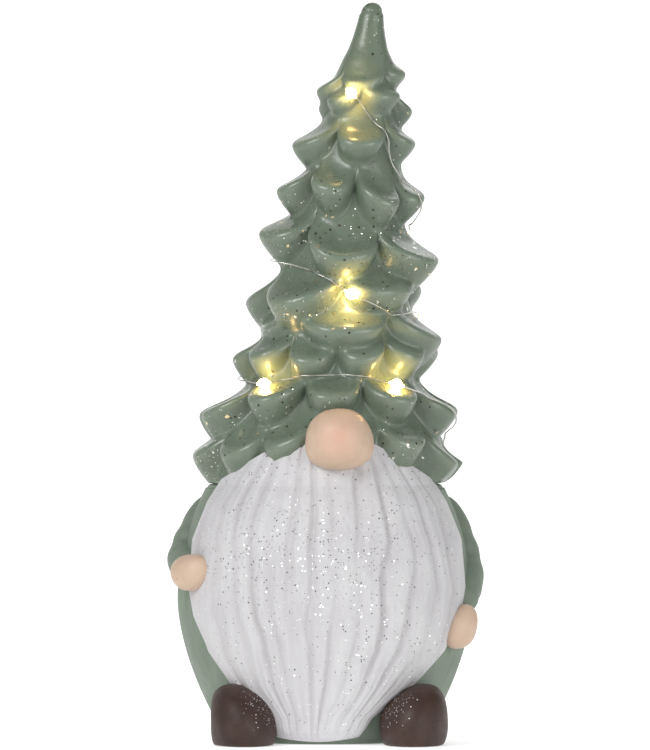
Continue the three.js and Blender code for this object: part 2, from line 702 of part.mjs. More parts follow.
// Contact plates stand against the ends of the bay.
function contactPlate(direction, yLow, yHigh) {
  const outer = direction * (BAY_X - GAP);
  const inner = direction * (BAY_X - GAP - PLATE_THICKNESS);
  return block(
    [Math.min(outer, inner), yLow, DOOR_TOP + CELL_CLEARANCE],
    [Math.max(outer, inner), yHigh, BAY_TOP - GAP],
  );
}

// A conical coil spring between a plate and the flat end of a cell.
function contactSpring(y, direction) {
  class Coil extends THREE.Curve {
    getPoint(t, target = new THREE.Vector3()) {
      const reach = (BAY_X - 2 * GAP - PLATE_THICKNESS - SPRING_WIRE / 2) * direction;
      const end = (CELL_END - CELL_NUB_LENGTH - CELL_LENGTH - GAP - SPRING_WIRE / 2) * -direction;
      const a = t * SPRING_TURNS * 2 * Math.PI;
      const r = mix(SPRING_BASE_RADIUS, SPRING_TOP_RADIUS, t);
      return target.set(mix(reach, end, t), y + r * Math.cos(a), CELL_Z + r * Math.sin(a));
    }
  }
  return tube(new Coil(), SPRING_WIRE / 2, SPRING_TURNS * 12, 5);
}

function switchBody() {
  const l = SWITCH.length / 2;
  const w = SWITCH.width / 2;
  const can = block([-l, BOARD_BAY_Y - w, SWITCH_LOW], [l, BOARD_BAY_Y + w, SWITCH_HIGH]);
  const mouth = block(
    [SLOT_LOW_X, BOARD_BAY_Y - SLOT_HALF, 0],
    [SLOT_HIGH_X, BOARD_BAY_Y + SLOT_HALF, SWITCH_LOW + 2],
  );
  const s = KNOB.shoulder;
  const track = block(
    [SLOT_LOW_X - s, BOARD_BAY_Y - SLOT_HALF - s / 2, KNOB_SHOULDER_LOW - GAP],
    [SLOT_HIGH_X + s, BOARD_BAY_Y + SLOT_HALF + s / 2, KNOB_SHOULDER_HIGH + GAP],
  );
  return can.subtract(mouth).subtract(track);
}

function switchKnob() {
  const l = KNOB.length / 2;
  const w = KNOB.stem / 2;
  const s = KNOB.shoulder;
  const stem = block(
    [KNOB_X - l, BOARD_BAY_Y - w, KNOB_LOW],
    [KNOB_X + l, BOARD_BAY_Y + w, KNOB_SHOULDER_HIGH],
  );
  const shoulder = block(
    [KNOB_X - l - s, BOARD_BAY_Y - w - s / 2, KNOB_SHOULDER_LOW],
    [KNOB_X + l + s, BOARD_BAY_Y + w + s / 2, KNOB_SHOULDER_HIGH],
  );
  return stem.add(shoulder);
}

function circuitBoard() {
  const l = BOARD.length / 2;
  const w = BOARD.width / 2;
  return block([-l, BOARD_BAY_Y - w, BOARD_LOW], [l, BOARD_BAY_Y + w, BOARD_HIGH]);
}

function timerChip() {
  const l = CHIP.length / 2;
  const w = CHIP.width / 2;
  const low = BOARD_HIGH + GAP;
  return block([-l - 4, BOARD_BAY_Y - w, low], [l - 4, BOARD_BAY_Y + w, low + CHIP.height]);
}

// ---------------------------------------------------------------- light string
// The wire's route round the hat from its exit to its end, as [azimuth, height above the hat's
// foot], with true where a light drop sits.
const ROUTE = [
  [152, 0, false],
  [128, 10, false],
  [105, 16, false],
  [85, 20.5, false],
  [62, 33, false],
  [36, 40.2, true],
  [19, 43.4, false],
  [5, 44.2, false],
  [-20, 43.7, false],
  [-41, 40.6, true],
  [-66, 41, false],
  [-90, 42, false],
  [-112, 46, false],
  [-146, 53, true],
  [-190, 59, false],
  [-224, 63, true],
  [-265, 69.5, false],
  [-290, 69.5, false],
  [-322, 68.2, false],
  [-338, 72.2, false],
  [-354.5, 76.5, true],
  [-370, 82.2, false],
  [-385, 85.7, false],
  [-425, 89.7, false],
  [-498, 94, true],
  [-540, 97, false],
  [-588, 101, true],
  [-622, 103, false],
  [-642, 106, false],
  [-656, 117, false],
  [-668, 127, false],
  [-690, 143, false],
  [-734, 158, true],
];
const LAY_STEP = 8; // degrees between the points where the wire is laid on the hat
const DROP_ROOM = 1.6; // a drop's half-length is greater than its radius, and the hat is round
const LAY_SPREAD = 4; // degrees to each side that a laid point clears
const LAY_HEIGHT = 1.5; // and millimetres above and below it
const TAUT_PASSES = 3;
const SAG_SLACK = 0.97; // how far a taut span may sink between two lobes

// Radius at which the wire's centre line clears the hat near an azimuth and a height.
function layRadius(azimuth, z, clearance) {
  let r = 0;
  for (const da of [-LAY_SPREAD, -LAY_SPREAD / 2, 0, LAY_SPREAD / 2, LAY_SPREAD]) {
    for (const dz of [-LAY_HEIGHT, -LAY_HEIGHT / 2, 0, LAY_HEIGHT / 2, LAY_HEIGHT]) {
      r = Math.max(r, hatRadius(degrees(azimuth + da), z + dz));
    }
  }
  return r + clearance;
}

// Laid points: the route in even steps, each on the hat, then pulled taut over the lobes.
function laidPoints() {
  const scale = HAT_HEIGHT / PATTERN_HEIGHT;
  const laid = [];
  ROUTE.forEach(([azimuth, height, drop], i) => {
    const z = HAT_FOOT_Z + height * scale;
    const clearance = drop ? DROP_RADIUS * DROP_ROOM + GAP : LAY_CLEARANCE;
    laid.push({ azimuth, z, drop, r: layRadius(azimuth, z, clearance) });
    if (i === ROUTE.length - 1) return;
    const [nextAzimuth, nextHeight] = ROUTE[i + 1];
    const count = Math.ceil(Math.abs(nextAzimuth - azimuth) / LAY_STEP);
    for (let k = 1; k < count; k++) {
      const a = mix(azimuth, nextAzimuth, k / count);
      const h = HAT_FOOT_Z + mix(height, nextHeight, k / count) * scale;
      laid.push({ azimuth: a, z: h, drop: false, r: layRadius(a, h, LAY_CLEARANCE) });
    }
  });
  for (let pass = 0; pass < TAUT_PASSES; pass++) {
    for (let i = 1; i < laid.length - 1; i++) {
      laid[i].r = Math.max(laid[i].r, ((laid[i - 1].r + laid[i + 1].r) / 2) * SAG_SLACK);
    }
  }
  return laid;
}

const EXIT_WALL = onBody(degrees(EXIT_AZIMUTH), EXIT_HEIGHT);
const EXIT_OUT = new THREE.Vector3(0, 1, 0);
const exitPoint = (distance) => EXIT_WALL.clone().addScaledVector(EXIT_OUT, distance);

// Outer wire: out of the exit plug, up and over the lowest lobes, then round the hat.
const laid = laidPoints();
const laidVectors = laid.map((p) => new THREE.Vector3(...onHat(degrees(p.azimuth), p.r, p.z)));
const wireLine = new THREE.CatmullRomCurve3(
  [
    exitPoint(-BODY_WALL / 2),
    exitPoint(1),
    exitPoint(4.5),
    exitPoint(8).add(new THREE.Vector3(4, 0, 1)),
    exitPoint(8).add(new THREE.Vector3(13, 0, 4)),
    ...laidVectors,
  ],
  false,
  "centripetal",
);
wireLine.arcLengthDivisions = 2000;
const wirePoints = wireLine.getSpacedPoints(WIRE_STEPS);

// A light drop: a bead of resin round the wire, centred on the wire's nearest straight step.
function lightDrop(near) {
  let best = 0;
  let distance = Infinity;
  for (let i = 0; i < WIRE_STEPS; i++) {
    const middle = wirePoints[i].clone().lerp(wirePoints[i + 1], 0.5);
    if (middle.distanceTo(near) < distance) {
      distance = middle.distanceTo(near);
      best = i;
    }
  }
  const from = wirePoints[best];
  const to = wirePoints[best + 1];
  const bore = WIRE_RADIUS + GAP;
  const profile = [];
  const rows = 5;
  const start = Math.asin(bore / DROP_RADIUS);
  for (let i = 0; i <= rows; i++) {
    const a = mix(start, Math.PI - start, i / rows);
    profile.push(new THREE.Vector2(DROP_RADIUS * Math.sin(a), (-DROP_LENGTH / 2) * Math.cos(a)));
  }
  profile.push(profile[0].clone());
  const lathe = new THREE.LatheGeometry(profile, 8);
  const turn = new THREE.Quaternion().setFromUnitVectors(
    new THREE.Vector3(0, 1, 0),
    to.clone().sub(from).normalize(),
  );
  const middle = from.clone().lerp(to, 0.5);
  return lathe.applyQuaternion(turn).translate(middle.x, middle.y, middle.z);
}

// Inner lead: from the circuit board up the back of the hollow to the exit plug.
function leadLine() {
  const start = new THREE.Vector3(BOARD.length / 2 - 3, BOARD_BAY_Y, BOARD_HIGH + GAP);
  return new THREE.CatmullRomCurve3([
    start,
    start.clone().add(new THREE.Vector3(0, 0, 8)),
    new THREE.Vector3(9, AXIS_Y + 20, 32),
    new THREE.Vector3(3, AXIS_Y + 34, 58),
    new THREE.Vector3(0, EXIT_WALL.y - BODY_WALL - 8, EXIT_HEIGHT - 14),
    exitPoint(-BODY_WALL - 5),
    exitPoint(-BODY_WALL / 2 - GAP),
  ]);
}

// Exit plug: a soft round plug with a head outside the wall, bored for the wire.
function exitPlug() {
  const face = exitPoint(PLUG_HEAD_THICKNESS + 1);
  const stem = bar(exitPoint(-BODY_WALL - 0.5), face, PLUG_RADIUS);
  const head = bar(exitPoint(-2), face, PLUG_HEAD_RADIUS).subtract(bodyBlank(GAP));
  const bore = bar(exitPoint(-BODY_WALL - 2), exitPoint(4), WIRE_RADIUS + GAP, 12);
  return stem.add(head).subtract(bore);
}

// ---------------------------------------------------------------- assembly
const figurine = new THREE.Group();

const FINISHES = {
  sage_matt: { color: 0x70847a, roughness: 0.75, metalness: 0 },
  sage_glaze: { color: 0x6b7f73, roughness: 0.35, metalness: 0 },
  white_glitter: { color: 0xd7d3d4, roughness: 0.7, metalness: 0 },
  skin: { color: 0xdebea8, roughness: 0.6, metalness: 0 },
  brown: { color: 0x3e2a24, roughness: 0.5, metalness: 0 },
  black_plastic: { color: 0x1c1c1e, roughness: 0.5, metalness: 0 },
  cell_sleeve: { color: 0x3d6b4a, roughness: 0.35, metalness: 0.2 },
  nickel: { color: 0xc4c4c0, roughness: 0.3, metalness: 1 },
  board_green: { color: 0x1f5a34, roughness: 0.5, metalness: 0 },
  clear_resin: { color: 0xffe6a8, roughness: 0.15, metalness: 0 },
  silver_wire: { color: 0xc0bcb0, roughness: 0.35, metalness: 1 },
  white_rubber: { color: 0xd8d6cf, roughness: 0.7, metalness: 0 },
};

function add(name, finish, geometry) {
  const material = new THREE.MeshStandardMaterial(FINISHES[finish]);
  const mesh = new THREE.Mesh(geometry, material);
  mesh.name = name;
  figurine.add(mesh);
}

const plugHole = bar(exitPoint(-BODY_WALL * 3), exitPoint(5), PLUG_RADIUS + GAP);
const bodyShell = bodyBlank(0).add(collar()).subtract(bodyHollow()).subtract(floorOpening());
add("body_shell", "sage_matt", shell(largest(bodyShell.subtract(plugHole))));
add("hat_shell", "sage_glaze", shell(largest(hatBlank(0).subtract(hatHollow()))));

const bodyCut = bodyBlank(GAP);
const hatCut = hatBlank(GAP);
const beardCut = beardBlank(GAP);
const standsOn = block([-FAR, -FAR, -FAR], [FAR, FAR, 0]);
const beard = beardBlank(0).subtract(bodyCut).subtract(hatCut).subtract(standsOn);
add("beard", "white_glitter", shell(largest(beard)));

const noseFront = onBody(0, NOSE.z, NOSE.stand);
const noseCentre = new THREE.Vector3(NOSE.x, noseFront.y, NOSE.z);
const nose = ball(noseCentre, NOSE, 0).subtract(hatCut).subtract(beardCut).subtract(bodyCut);
add("nose", "skin", shell(largest(nose)));

for (const [side, sleeve, hand] of [
  ["left", SLEEVE_LEFT, HAND_LEFT],
  ["right", SLEEVE_RIGHT, HAND_RIGHT],
]) {
  const handSolid = handBlank(hand, 0).subtract(bodyCut).subtract(beardCut);
  const sleeveSolid = sleeveBlank(sleeve, 0).subtract(bodyCut).subtract(hatCut).subtract(beardCut);
  add("sleeve_" + side, "sage_matt", shell(largest(sleeveSolid.subtract(handBlank(hand, GAP)))));
  add("hand_" + side, "skin", shell(largest(handSolid)));
}
for (const [name, x] of [["shoe_left", SHOE_LEFT_X], ["shoe_right", SHOE_RIGHT_X]]) {
  const shoe = shoeBlank(x, 0).subtract(bodyCut).subtract(beardCut);
  add(name, "brown", shell(largest(shoe)));
}

add("battery_housing", "black_plastic", shell(batteryHousing()));
add("battery_door", "black_plastic", shell(batteryDoor()));
add("cell_front", "cell_sleeve", shell(cell(CELL_Y[0], 1)));
add("cell_rear", "cell_sleeve", shell(cell(CELL_Y[1], -1)));
add("contact_spring_front", "nickel", contactSpring(CELL_Y[0], -1));
add("contact_spring_rear", "nickel", contactSpring(CELL_Y[1], 1));
const plateHalf = CELL_RADIUS - 0.6;
add("bridge_plate", "nickel", shell(contactPlate(-1, CELL_Y[0] - plateHalf, CELL_Y[1] + plateHalf)));
add("positive_plate", "nickel", shell(contactPlate(1, CELL_Y[0] - plateHalf, CELL_Y[0] + plateHalf)));
add("negative_plate", "nickel", shell(contactPlate(1, CELL_Y[1] - plateHalf, CELL_Y[1] + plateHalf)));
add("switch_body", "nickel", shell(switchBody()));
add("switch_knob", "white_rubber", shell(switchKnob()));
add("circuit_board", "board_green", shell(circuitBoard()));
add("timer_chip", "black_plastic", shell(timerChip()));

add("exit_plug", "white_rubber", shell(exitPlug()));
add("lead_wire", "silver_wire", tube(leadLine(), WIRE_RADIUS, LEAD_STEPS));
add("light_wire", "silver_wire", tube(wireLine, WIRE_RADIUS, WIRE_STEPS));
laid.forEach((p, i) => {
  if (!p.drop) return;
  const number = laid.slice(0, i + 1).filter((q) => q.drop).length;
  add("light_drop_" + number, "clear_resin", lightDrop(laidVectors[i]));
});

export default figurine;
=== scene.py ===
"""A tomte gnome figurine in painted and glazed earthenware, its fir-tree hat wound with small lights.

Lengths in the sections are millimetres, and skin() turns them into the metres that Blender uses.
The figure faces -Y and stands on z = 0. An azimuth is measured round it from the front, towards +X.
"""

import bpy
import numpy as np
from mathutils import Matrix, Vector


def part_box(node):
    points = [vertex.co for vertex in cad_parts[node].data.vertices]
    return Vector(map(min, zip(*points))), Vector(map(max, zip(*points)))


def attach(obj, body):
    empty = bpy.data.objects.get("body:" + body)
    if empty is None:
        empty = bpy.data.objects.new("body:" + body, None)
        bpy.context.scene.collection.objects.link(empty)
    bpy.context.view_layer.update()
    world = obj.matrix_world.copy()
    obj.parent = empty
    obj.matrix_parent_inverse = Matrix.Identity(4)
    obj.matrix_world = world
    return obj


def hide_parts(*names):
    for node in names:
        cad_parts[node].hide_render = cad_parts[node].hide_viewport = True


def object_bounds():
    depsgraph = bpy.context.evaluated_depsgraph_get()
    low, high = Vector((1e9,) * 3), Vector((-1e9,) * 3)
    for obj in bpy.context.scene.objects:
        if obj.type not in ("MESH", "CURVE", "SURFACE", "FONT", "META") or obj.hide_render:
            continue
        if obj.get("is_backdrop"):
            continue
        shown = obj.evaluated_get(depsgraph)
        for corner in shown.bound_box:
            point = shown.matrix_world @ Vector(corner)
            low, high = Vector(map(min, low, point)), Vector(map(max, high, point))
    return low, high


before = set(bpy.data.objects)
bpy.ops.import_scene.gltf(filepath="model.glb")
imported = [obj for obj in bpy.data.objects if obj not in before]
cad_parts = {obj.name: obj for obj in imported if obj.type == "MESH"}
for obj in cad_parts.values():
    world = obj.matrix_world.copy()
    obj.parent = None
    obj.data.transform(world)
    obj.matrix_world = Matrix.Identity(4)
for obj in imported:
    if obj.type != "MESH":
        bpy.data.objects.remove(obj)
cad_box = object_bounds()

# ------------------------------------------------------------------ room
# A white paper sweep on the floor and up behind, a long lens level with the middle of the figure,
# and large soft lamps on both sides and above.
MM = 0.001
CAMERA_DISTANCE = 2600
SHOWN_HEIGHT = 305
LENS_SENSOR = 36
EYE_HEIGHT = 148.3


def points_of(x, y, z):
    """Points from arrays of their coordinates, which are stretched to one shape."""
    return np.stack(np.broadcast_arrays(x, y, z), -1)


def grid_faces(number):
    """The four-sided faces between the neighbours in a grid of point numbers."""
    return np.stack([number[:-1, :-1], number[:-1, 1:], number[1:, 1:], number[1:, :-1]], -1).reshape(-1, 4)


def mesh_piece(name, points, faces, material, masks=None):
    """An object from points in millimetres and lists of their numbers, shaded smooth.

    masks holds numbers for the first points under a name, which materials read as an attribute.
    The rest of the points get zero."""
    mesh = bpy.data.meshes.new(name)
    mesh.from_pydata((points * MM).tolist(), [], faces)
    mesh.shade_smooth()
    mesh.materials.append(material)
    for label, values in (masks or {}).items():
        padded = np.zeros(len(points), np.float32)
        padded[: values.size] = values.ravel()
        mesh.attributes.new(label, "FLOAT", "POINT").data.foreach_set("value", padded)
    piece = bpy.data.objects.new(name, mesh)
    bpy.context.scene.collection.objects.link(piece)
    return piece


def feed(node, socket, value):
    """Sets a node's input to a value, or joins it to the socket given as the value."""
    if isinstance(value, bpy.types.NodeSocket):
        node.id_data.links.new(value, node.inputs[socket])
    else:
        node.inputs[socket].default_value = value


def put(tree, kind, inputs=None, **settings):
    """A shader node of a kind with its settings and its inputs."""
    node = tree.nodes.new("ShaderNode" + kind)
    for name, value in settings.items():
        setattr(node, name, value)
    for socket, value in (inputs or {}).items():
        feed(node, socket, value)
    return node


def finish(name, roughness, metallic=0.0, colour=None, **constants):
    """A material with one Principled shader. Returns the material, its nodes and the shader."""
    material = bpy.data.materials.new(name)
    material.use_nodes = True
    shader = material.node_tree.nodes["Principled BSDF"]
    feed(shader, "Roughness", roughness)
    feed(shader, "Metallic", metallic)
    if colour:
        feed(shader, "Base Color", (*colour, 1))
    for socket, value in constants.items():
        feed(shader, socket.replace("_", " "), value)
    return material, material.node_tree, shader


def object_place(tree):
    """The point being coloured, in the object's own metres."""
    return put(tree, "TexCoord").outputs["Object"]


def soft_lamp(name, place, aim, width, power, colour):
    """A square lamp of a width in millimetres at a place, turned towards a point."""
    lamp = bpy.data.lights.new(name, "AREA")
    lamp.energy, lamp.size, lamp.color = power, width * MM, colour
    piece = bpy.data.objects.new(name, lamp)
    piece.location = Vector(place) * MM
    piece.rotation_euler = (Vector(aim) - Vector(place)).to_track_quat("-Z", "Y").to_euler()
    bpy.context.scene.collection.objects.link(piece)


camera_data = bpy.data.cameras.new("camera")
camera_data.sensor_width = LENS_SENSOR
camera_data.lens = LENS_SENSOR * CAMERA_DISTANCE / SHOWN_HEIGHT
camera = bpy.data.objects.new("camera", camera_data)
camera.location = Vector((0, -CAMERA_DISTANCE, EYE_HEIGHT)) * MM
camera.rotation_euler = (np.pi / 2, 0, 0)
bpy.context.scene.collection.objects.link(camera)
bpy.context.scene.camera = camera
bpy.context.scene.view_settings.view_transform = "Standard"

SWEEP_WIDTH, SWEEP_DEPTH, SWEEP_BACK, SWEEP_BEND = 8000, 3600, 3000, 600
bend = np.linspace(0, np.pi / 2, 24)
wall_y = SWEEP_BACK + SWEEP_BEND
sweep_y = np.concatenate([[-SWEEP_DEPTH], SWEEP_BACK + SWEEP_BEND * np.sin(bend), [wall_y]])
sweep_z = np.concatenate([[0], SWEEP_BEND * (1 - np.cos(bend)), [SWEEP_DEPTH]])
sides = np.array([-SWEEP_WIDTH, SWEEP_WIDTH]) / 2
sweep_points = points_of(sides, sweep_y[:, None], sweep_z[:, None])
sweep_numbers = np.arange(sweep_points[..., 0].size).reshape(sweep_points.shape[:2])

# The paper glows with light of its own behind the figure, fading out towards the front.
PAPER_GLOW = 0.6
paper, tree, shader = finish("paper", 0.9, 0.0, (0.92, 0.92, 0.92), Emission_Strength=PAPER_GLOW)
depth = put(tree, "SeparateXYZ", {0: object_place(tree)}).outputs["Y"]
glow_range = {"Value": depth, "From Min": -0.5, "From Max": 0.15}
glow = put(tree, "MapRange", glow_range, interpolation_type="SMOOTHSTEP")
feed(shader, "Emission Color", glow.outputs["Result"])
sweep = mesh_piece("paper_sweep", sweep_points.reshape(-1, 3), grid_faces(sweep_numbers).tolist(), paper)
sweep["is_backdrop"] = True

AIM = (0, 0, 150)
soft_lamp("key_lamp", (-900, -1100, 900), AIM, 700, 15, (1, 1, 1))
soft_lamp("fill_lamp", (1000, -1200, 250), AIM, 900, 11, (1, 1, 1))
soft_lamp("back_lamp", (300, 900, 1100), AIM, 700, 2.5, (1, 1, 1))
daylight = bpy.data.worlds.new("daylight")
daylight.use_nodes = True
feed(daylight.node_tree.nodes["Background"], "Color", (1, 1, 1, 1))
feed(daylight.node_tree.nodes["Background"], "Strength", 0.33)
bpy.context.scene.world = daylight

# ------------------------------------------------------------------ battery unit
# A moulded black housing glued into the base holds two cells, their plated contacts, a slide
# switch and a small timer board. Its door clips shut from below and swings on the front edge.


def group(name, inputs, outputs):
    """An empty shader node group with named number, colour or vector sockets."""
    tree = bpy.data.node_groups.new(name, "ShaderNodeTree")
    for kind, sockets in (("INPUT", inputs), ("OUTPUT", outputs)):
        for label, (socket_type, value) in sockets.items():
            socket = tree.interface.new_socket(label, in_out=kind, socket_type="NodeSocket" + socket_type)
            if kind == "INPUT":
                socket.default_value = value
    return tree, tree.nodes.new("NodeGroupInput"), tree.nodes.new("NodeGroupOutput")


def combine(tree, operation, first, second):
    """One Math node."""
    return put(tree, "Math", {0: first, 1: second}, operation=operation).outputs[0]


def combine_vectors(tree, operation, first, second):
    """One Vector Math node. SCALE takes a number as its second input."""
    inputs = {0: first, "Scale" if operation == "SCALE" else 1: second}
    return put(tree, "VectorMath", inputs, operation=operation).outputs[0]


# Grain: two sizes of noise added up, as a number about 0.5.
grain_inputs = {
    "Place": ("Vector", (0, 0, 0)),
    "Coarse": ("Float", 100),
    "Fine": ("Float", 1000),
    "Fine Share": ("Float", 0.4),
}
grain_tree, grain_in, grain_out = group("grain", grain_inputs, {"Grain": ("Float", 0)})
given = grain_in.outputs
coarse = put(grain_tree, "TexNoise", {"Vector": given["Place"], "Scale": given["Coarse"], "Detail": 3})
fine = put(grain_tree, "TexNoise", {"Vector": given["Place"], "Scale": given["Fine"], "Detail": 2})
both = {"Factor": given["Fine Share"], "A": coarse.outputs["Fac"], "B": fine.outputs["Fac"]}
feed(grain_out, "Grain", put(grain_tree, "Mix", both).outputs["Result"])


def grain(tree, coarse, fine, share):
    """The grain group placed in a material with its own scales."""
    inputs = {"Place": object_place(tree), "Coarse": coarse, "Fine": fine, "Fine Share": share}
    return put(tree, "Group", inputs, node_tree=grain_tree).outputs["Grain"]


def spread(tree, value, low, high, out_low=0.0, out_high=1.0):
    """A number stretched from one range to another and held inside it."""
    inputs = {"Value": value, "From Min": low, "From Max": high, "To Min": out_low, "To Max": out_high}
    return put(tree, "MapRange", inputs).outputs["Result"]


def blend_colour(tree, factor, first, second):
    """Two colours mixed by a factor. A plain colour is given as three numbers."""
    colours = [c if isinstance(c, bpy.types.NodeSocket) else (*c, 1) for c in (first, second)]
    return put(tree, "Mix", {0: factor, 6: colours[0], 7: colours[1]}, data_type="RGBA").outputs[2]


def roughen(tree, shader, height, distance, normal=None):
    """A bump of a height map, with its depth in millimetres, into the shader's normal."""
    bump = put(tree, "Bump", {"Height": height, "Distance": distance * MM, "Strength": 1.0})
    if normal:
        feed(bump, "Normal", normal)
    feed(shader, "Normal", bump.outputs["Normal"])


def moulded(name, colour, lighter, roughness, depth=0.05):
    """Moulded plastic: a spark-eroded skin, a little lighter and rougher on its high points."""
    material, tree, shader = finish(name, roughness)
    skin_grain = grain(tree, 700, 2600, 0.5)
    mask = spread(tree, skin_grain, 0.4, 0.62)
    feed(shader, "Base Color", blend_colour(tree, mask, colour, lighter))
    feed(shader, "Roughness", spread(tree, skin_grain, 0.35, 0.65, roughness - 0.1, roughness + 0.12))
    roughen(tree, shader, skin_grain, depth)
    return material


def plated(name, colour, roughness, depth=0.02):
    """Plated or drawn metal: fine scratches and a cloudy sheen."""
    material, tree, shader = finish(name, roughness, 1.0)
    cloud = grain(tree, 260, 3000, 0.35)
    dull = [c * 0.8 for c in colour]
    feed(shader, "Base Color", blend_colour(tree, spread(tree, cloud, 0.35, 0.65), dull, colour))
    feed(shader, "Roughness", spread(tree, cloud, 0.3, 0.7, roughness - 0.1, roughness + 0.15))
    roughen(tree, shader, cloud, depth)
    return material


def dress(node, material):
    """Gives a CAD node a material in place of its own."""
    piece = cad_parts[node]
    piece.data.materials.clear()
    piece.data.materials.append(material)


black_plastic = moulded("black_plastic", (0.012, 0.012, 0.013), (0.03, 0.03, 0.032), 0.5)
nickel = plated("nickel", (0.62, 0.61, 0.57), 0.3)
board_green, board_tree, board_shader = finish("board_green", 0.35)
mask_cloud = grain(board_tree, 500, 2400, 0.4)
bricks = {"Vector": object_place(board_tree), "Scale": 260, "Mortar Size": 0.06}
tracks = put(board_tree, "TexBrick", bricks)
lines = spread(board_tree, tracks.outputs["Fac"], 0.2, 0.8)
cloudy = spread(board_tree, mask_cloud, 0.3, 0.7)
green = blend_colour(board_tree, cloudy, (0.008, 0.07, 0.025), (0.015, 0.1, 0.04))
feed(board_shader, "Base Color", blend_colour(board_tree, lines, green, (0.03, 0.16, 0.06)))
roughen(board_tree, board_shader, lines, 0.04)

for node in ("battery_housing", "battery_door", "timer_chip"):
    dress(node, black_plastic)
for node in ("bridge_plate", "positive_plate", "negative_plate", "switch_body"):
    dress(node, nickel)
dress("circuit_board", board_green)
dress("switch_knob", moulded("white_plastic", (0.72, 0.72, 0.68), (0.8, 0.8, 0.77), 0.45, 0.03))

# Cells: a printed sleeve shrunk over a steel can, bare at both ends, with a band at the nub end.
for node, direction in (("cell_front", 1), ("cell_rear", -1)):
    low, high = (np.array(corner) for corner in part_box(node))
    sleeve, tree, shader = finish("cell_sleeve_" + node[5:], 0.3)
    spot = put(tree, "SeparateXYZ", {"Vector": object_place(tree)}).outputs["X"]
    nub_end = high[0] if direction > 0 else low[0]
    inward = combine(tree, "SUBTRACT", spot, nub_end)
    depth_in = put(tree, "Math", {0: inward}, operation="ABSOLUTE").outputs[0]
    length = high[0] - low[0]
    steel = combine(tree, "LESS_THAN", depth_in, 1.4 * MM)
    far_end = combine(tree, "GREATER_THAN", depth_in, length - 0.6 * MM)
    bare = combine(tree, "MAXIMUM", steel, far_end)
    band = combine(tree, "LESS_THAN", depth_in, 11 * MM)
    cloud = grain(tree, 300, 1500, 0.4)
    printed = blend_colour(tree, band, (0.03, 0.11, 0.05), (0.55, 0.56, 0.55))
    feed(shader, "Base Color", blend_colour(tree, bare, printed, (0.6, 0.6, 0.58)))
    feed(shader, "Metallic", bare)
    feed(shader, "Roughness", spread(tree, cloud, 0.3, 0.7, 0.2, 0.4))
    roughen(tree, shader, cloud, 0.02)
    dress(node, sleeve)

# Contact springs: a conical coil of plated wire between each cell's flat end and its plate.


def enlist(piece, node):
    """Rides a piece on the figurine and puts it in a CAD node's place."""
    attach(piece, "figurine")
    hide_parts(node)


def skin(name, rings, material, node, wrap=False, masks=None):
    """A closed skin over rings of points, as an array of rings by points by three.

    Each ring joins the next by a band of four-sided faces. The last ring joins the first when
    wrap is set, and otherwise each end closes on a point at the end ring's middle. The faces are
    turned over if the volume that they enclose comes out negative."""
    rows, columns = rings.shape[:2]
    number = np.arange(rows * columns).reshape(rows, columns)
    beside = np.roll(number, -1, axis=1)
    above = np.roll(number, -1, axis=0)
    over = np.roll(beside, -1, axis=0)
    bands = rows if wrap else rows - 1
    quads = np.stack([number, beside, over, above], -1)[:bands].reshape(-1, 4)
    points = rings.reshape(-1, 3)
    ends = np.empty((0, 3), int)
    if not wrap:
        foot, head = rows * columns, rows * columns + 1
        points = np.vstack([points, rings[0].mean(0), rings[-1].mean(0)])
        low = np.stack([beside[0], number[0], np.full(columns, foot)], -1)
        high = np.stack([number[-1], beside[-1], np.full(columns, head)], -1)
        ends = np.vstack([low, high])
    middle = points - points.mean(0)
    corner = np.vstack([quads[:, [0, 1, 2]], quads[:, [0, 2, 3]], ends])
    a, b, c = middle[corner].transpose(1, 0, 2)
    volume = np.einsum("ij,ij->", a, np.cross(b, c))
    if volume < 0:
        quads, ends = quads[:, ::-1], ends[:, ::-1]
    enlist(mesh_piece(name, points, quads.tolist() + ends.tolist(), material, masks), node)


def hose(path, radius, sides, up, spin=0.0, offset=0.0):
    """Rings of a round section carried along a path of points.

    The section's first axis is square to the path and to the direction up. The section may be
    offset from the path, at an angle spin that can change from point to point."""
    along = np.gradient(path, axis=0)
    along /= np.linalg.norm(along, axis=1, keepdims=True)
    across = np.cross(along, up)
    across /= np.linalg.norm(across, axis=1, keepdims=True)
    square = np.cross(across, along)
    spin = np.broadcast_to(spin, len(path))[:, None]
    middle = path + offset * (across * np.cos(spin) + square * np.sin(spin))
    turn = np.linspace(0, 2 * np.pi, sides, endpoint=False)[:, None]
    ring = across[:, None] * np.cos(turn) + square[:, None] * np.sin(turn)
    return middle[:, None] + np.broadcast_to(radius, len(path))[:, None, None] * ring


def box_mm(node):
    """The lowest and highest corners of a CAD node, in millimetres."""
    return tuple(np.array(corner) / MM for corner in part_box(node))


SPRING_WIRE = 0.55
SPRING_TURNS = 3
SPRING_RADII = (3.4, 2.2)
for node, direction in (("contact_spring_front", -1), ("contact_spring_rear", 1)):
    low, high = box_mm(node)
    middle = (low + high) / 2
    ends = (high[0], low[0]) if direction > 0 else (low[0], high[0])
    t = np.linspace(0, 1, 200)
    turn = t * SPRING_TURNS * 2 * np.pi
    radius = SPRING_RADII[0] + (SPRING_RADII[1] - SPRING_RADII[0]) * t
    x = ends[0] + (ends[1] - ends[0]) * t - np.sign(ends[0]) * SPRING_WIRE / 2 * (1 - 2 * t)
    coil = np.stack([x, middle[1] + radius * np.cos(turn), middle[2] + radius * np.sin(turn)], -1)
    skin(node + "_coil", hose(coil, SPRING_WIRE / 2, 10, (1, 0, 0)), nickel, node)

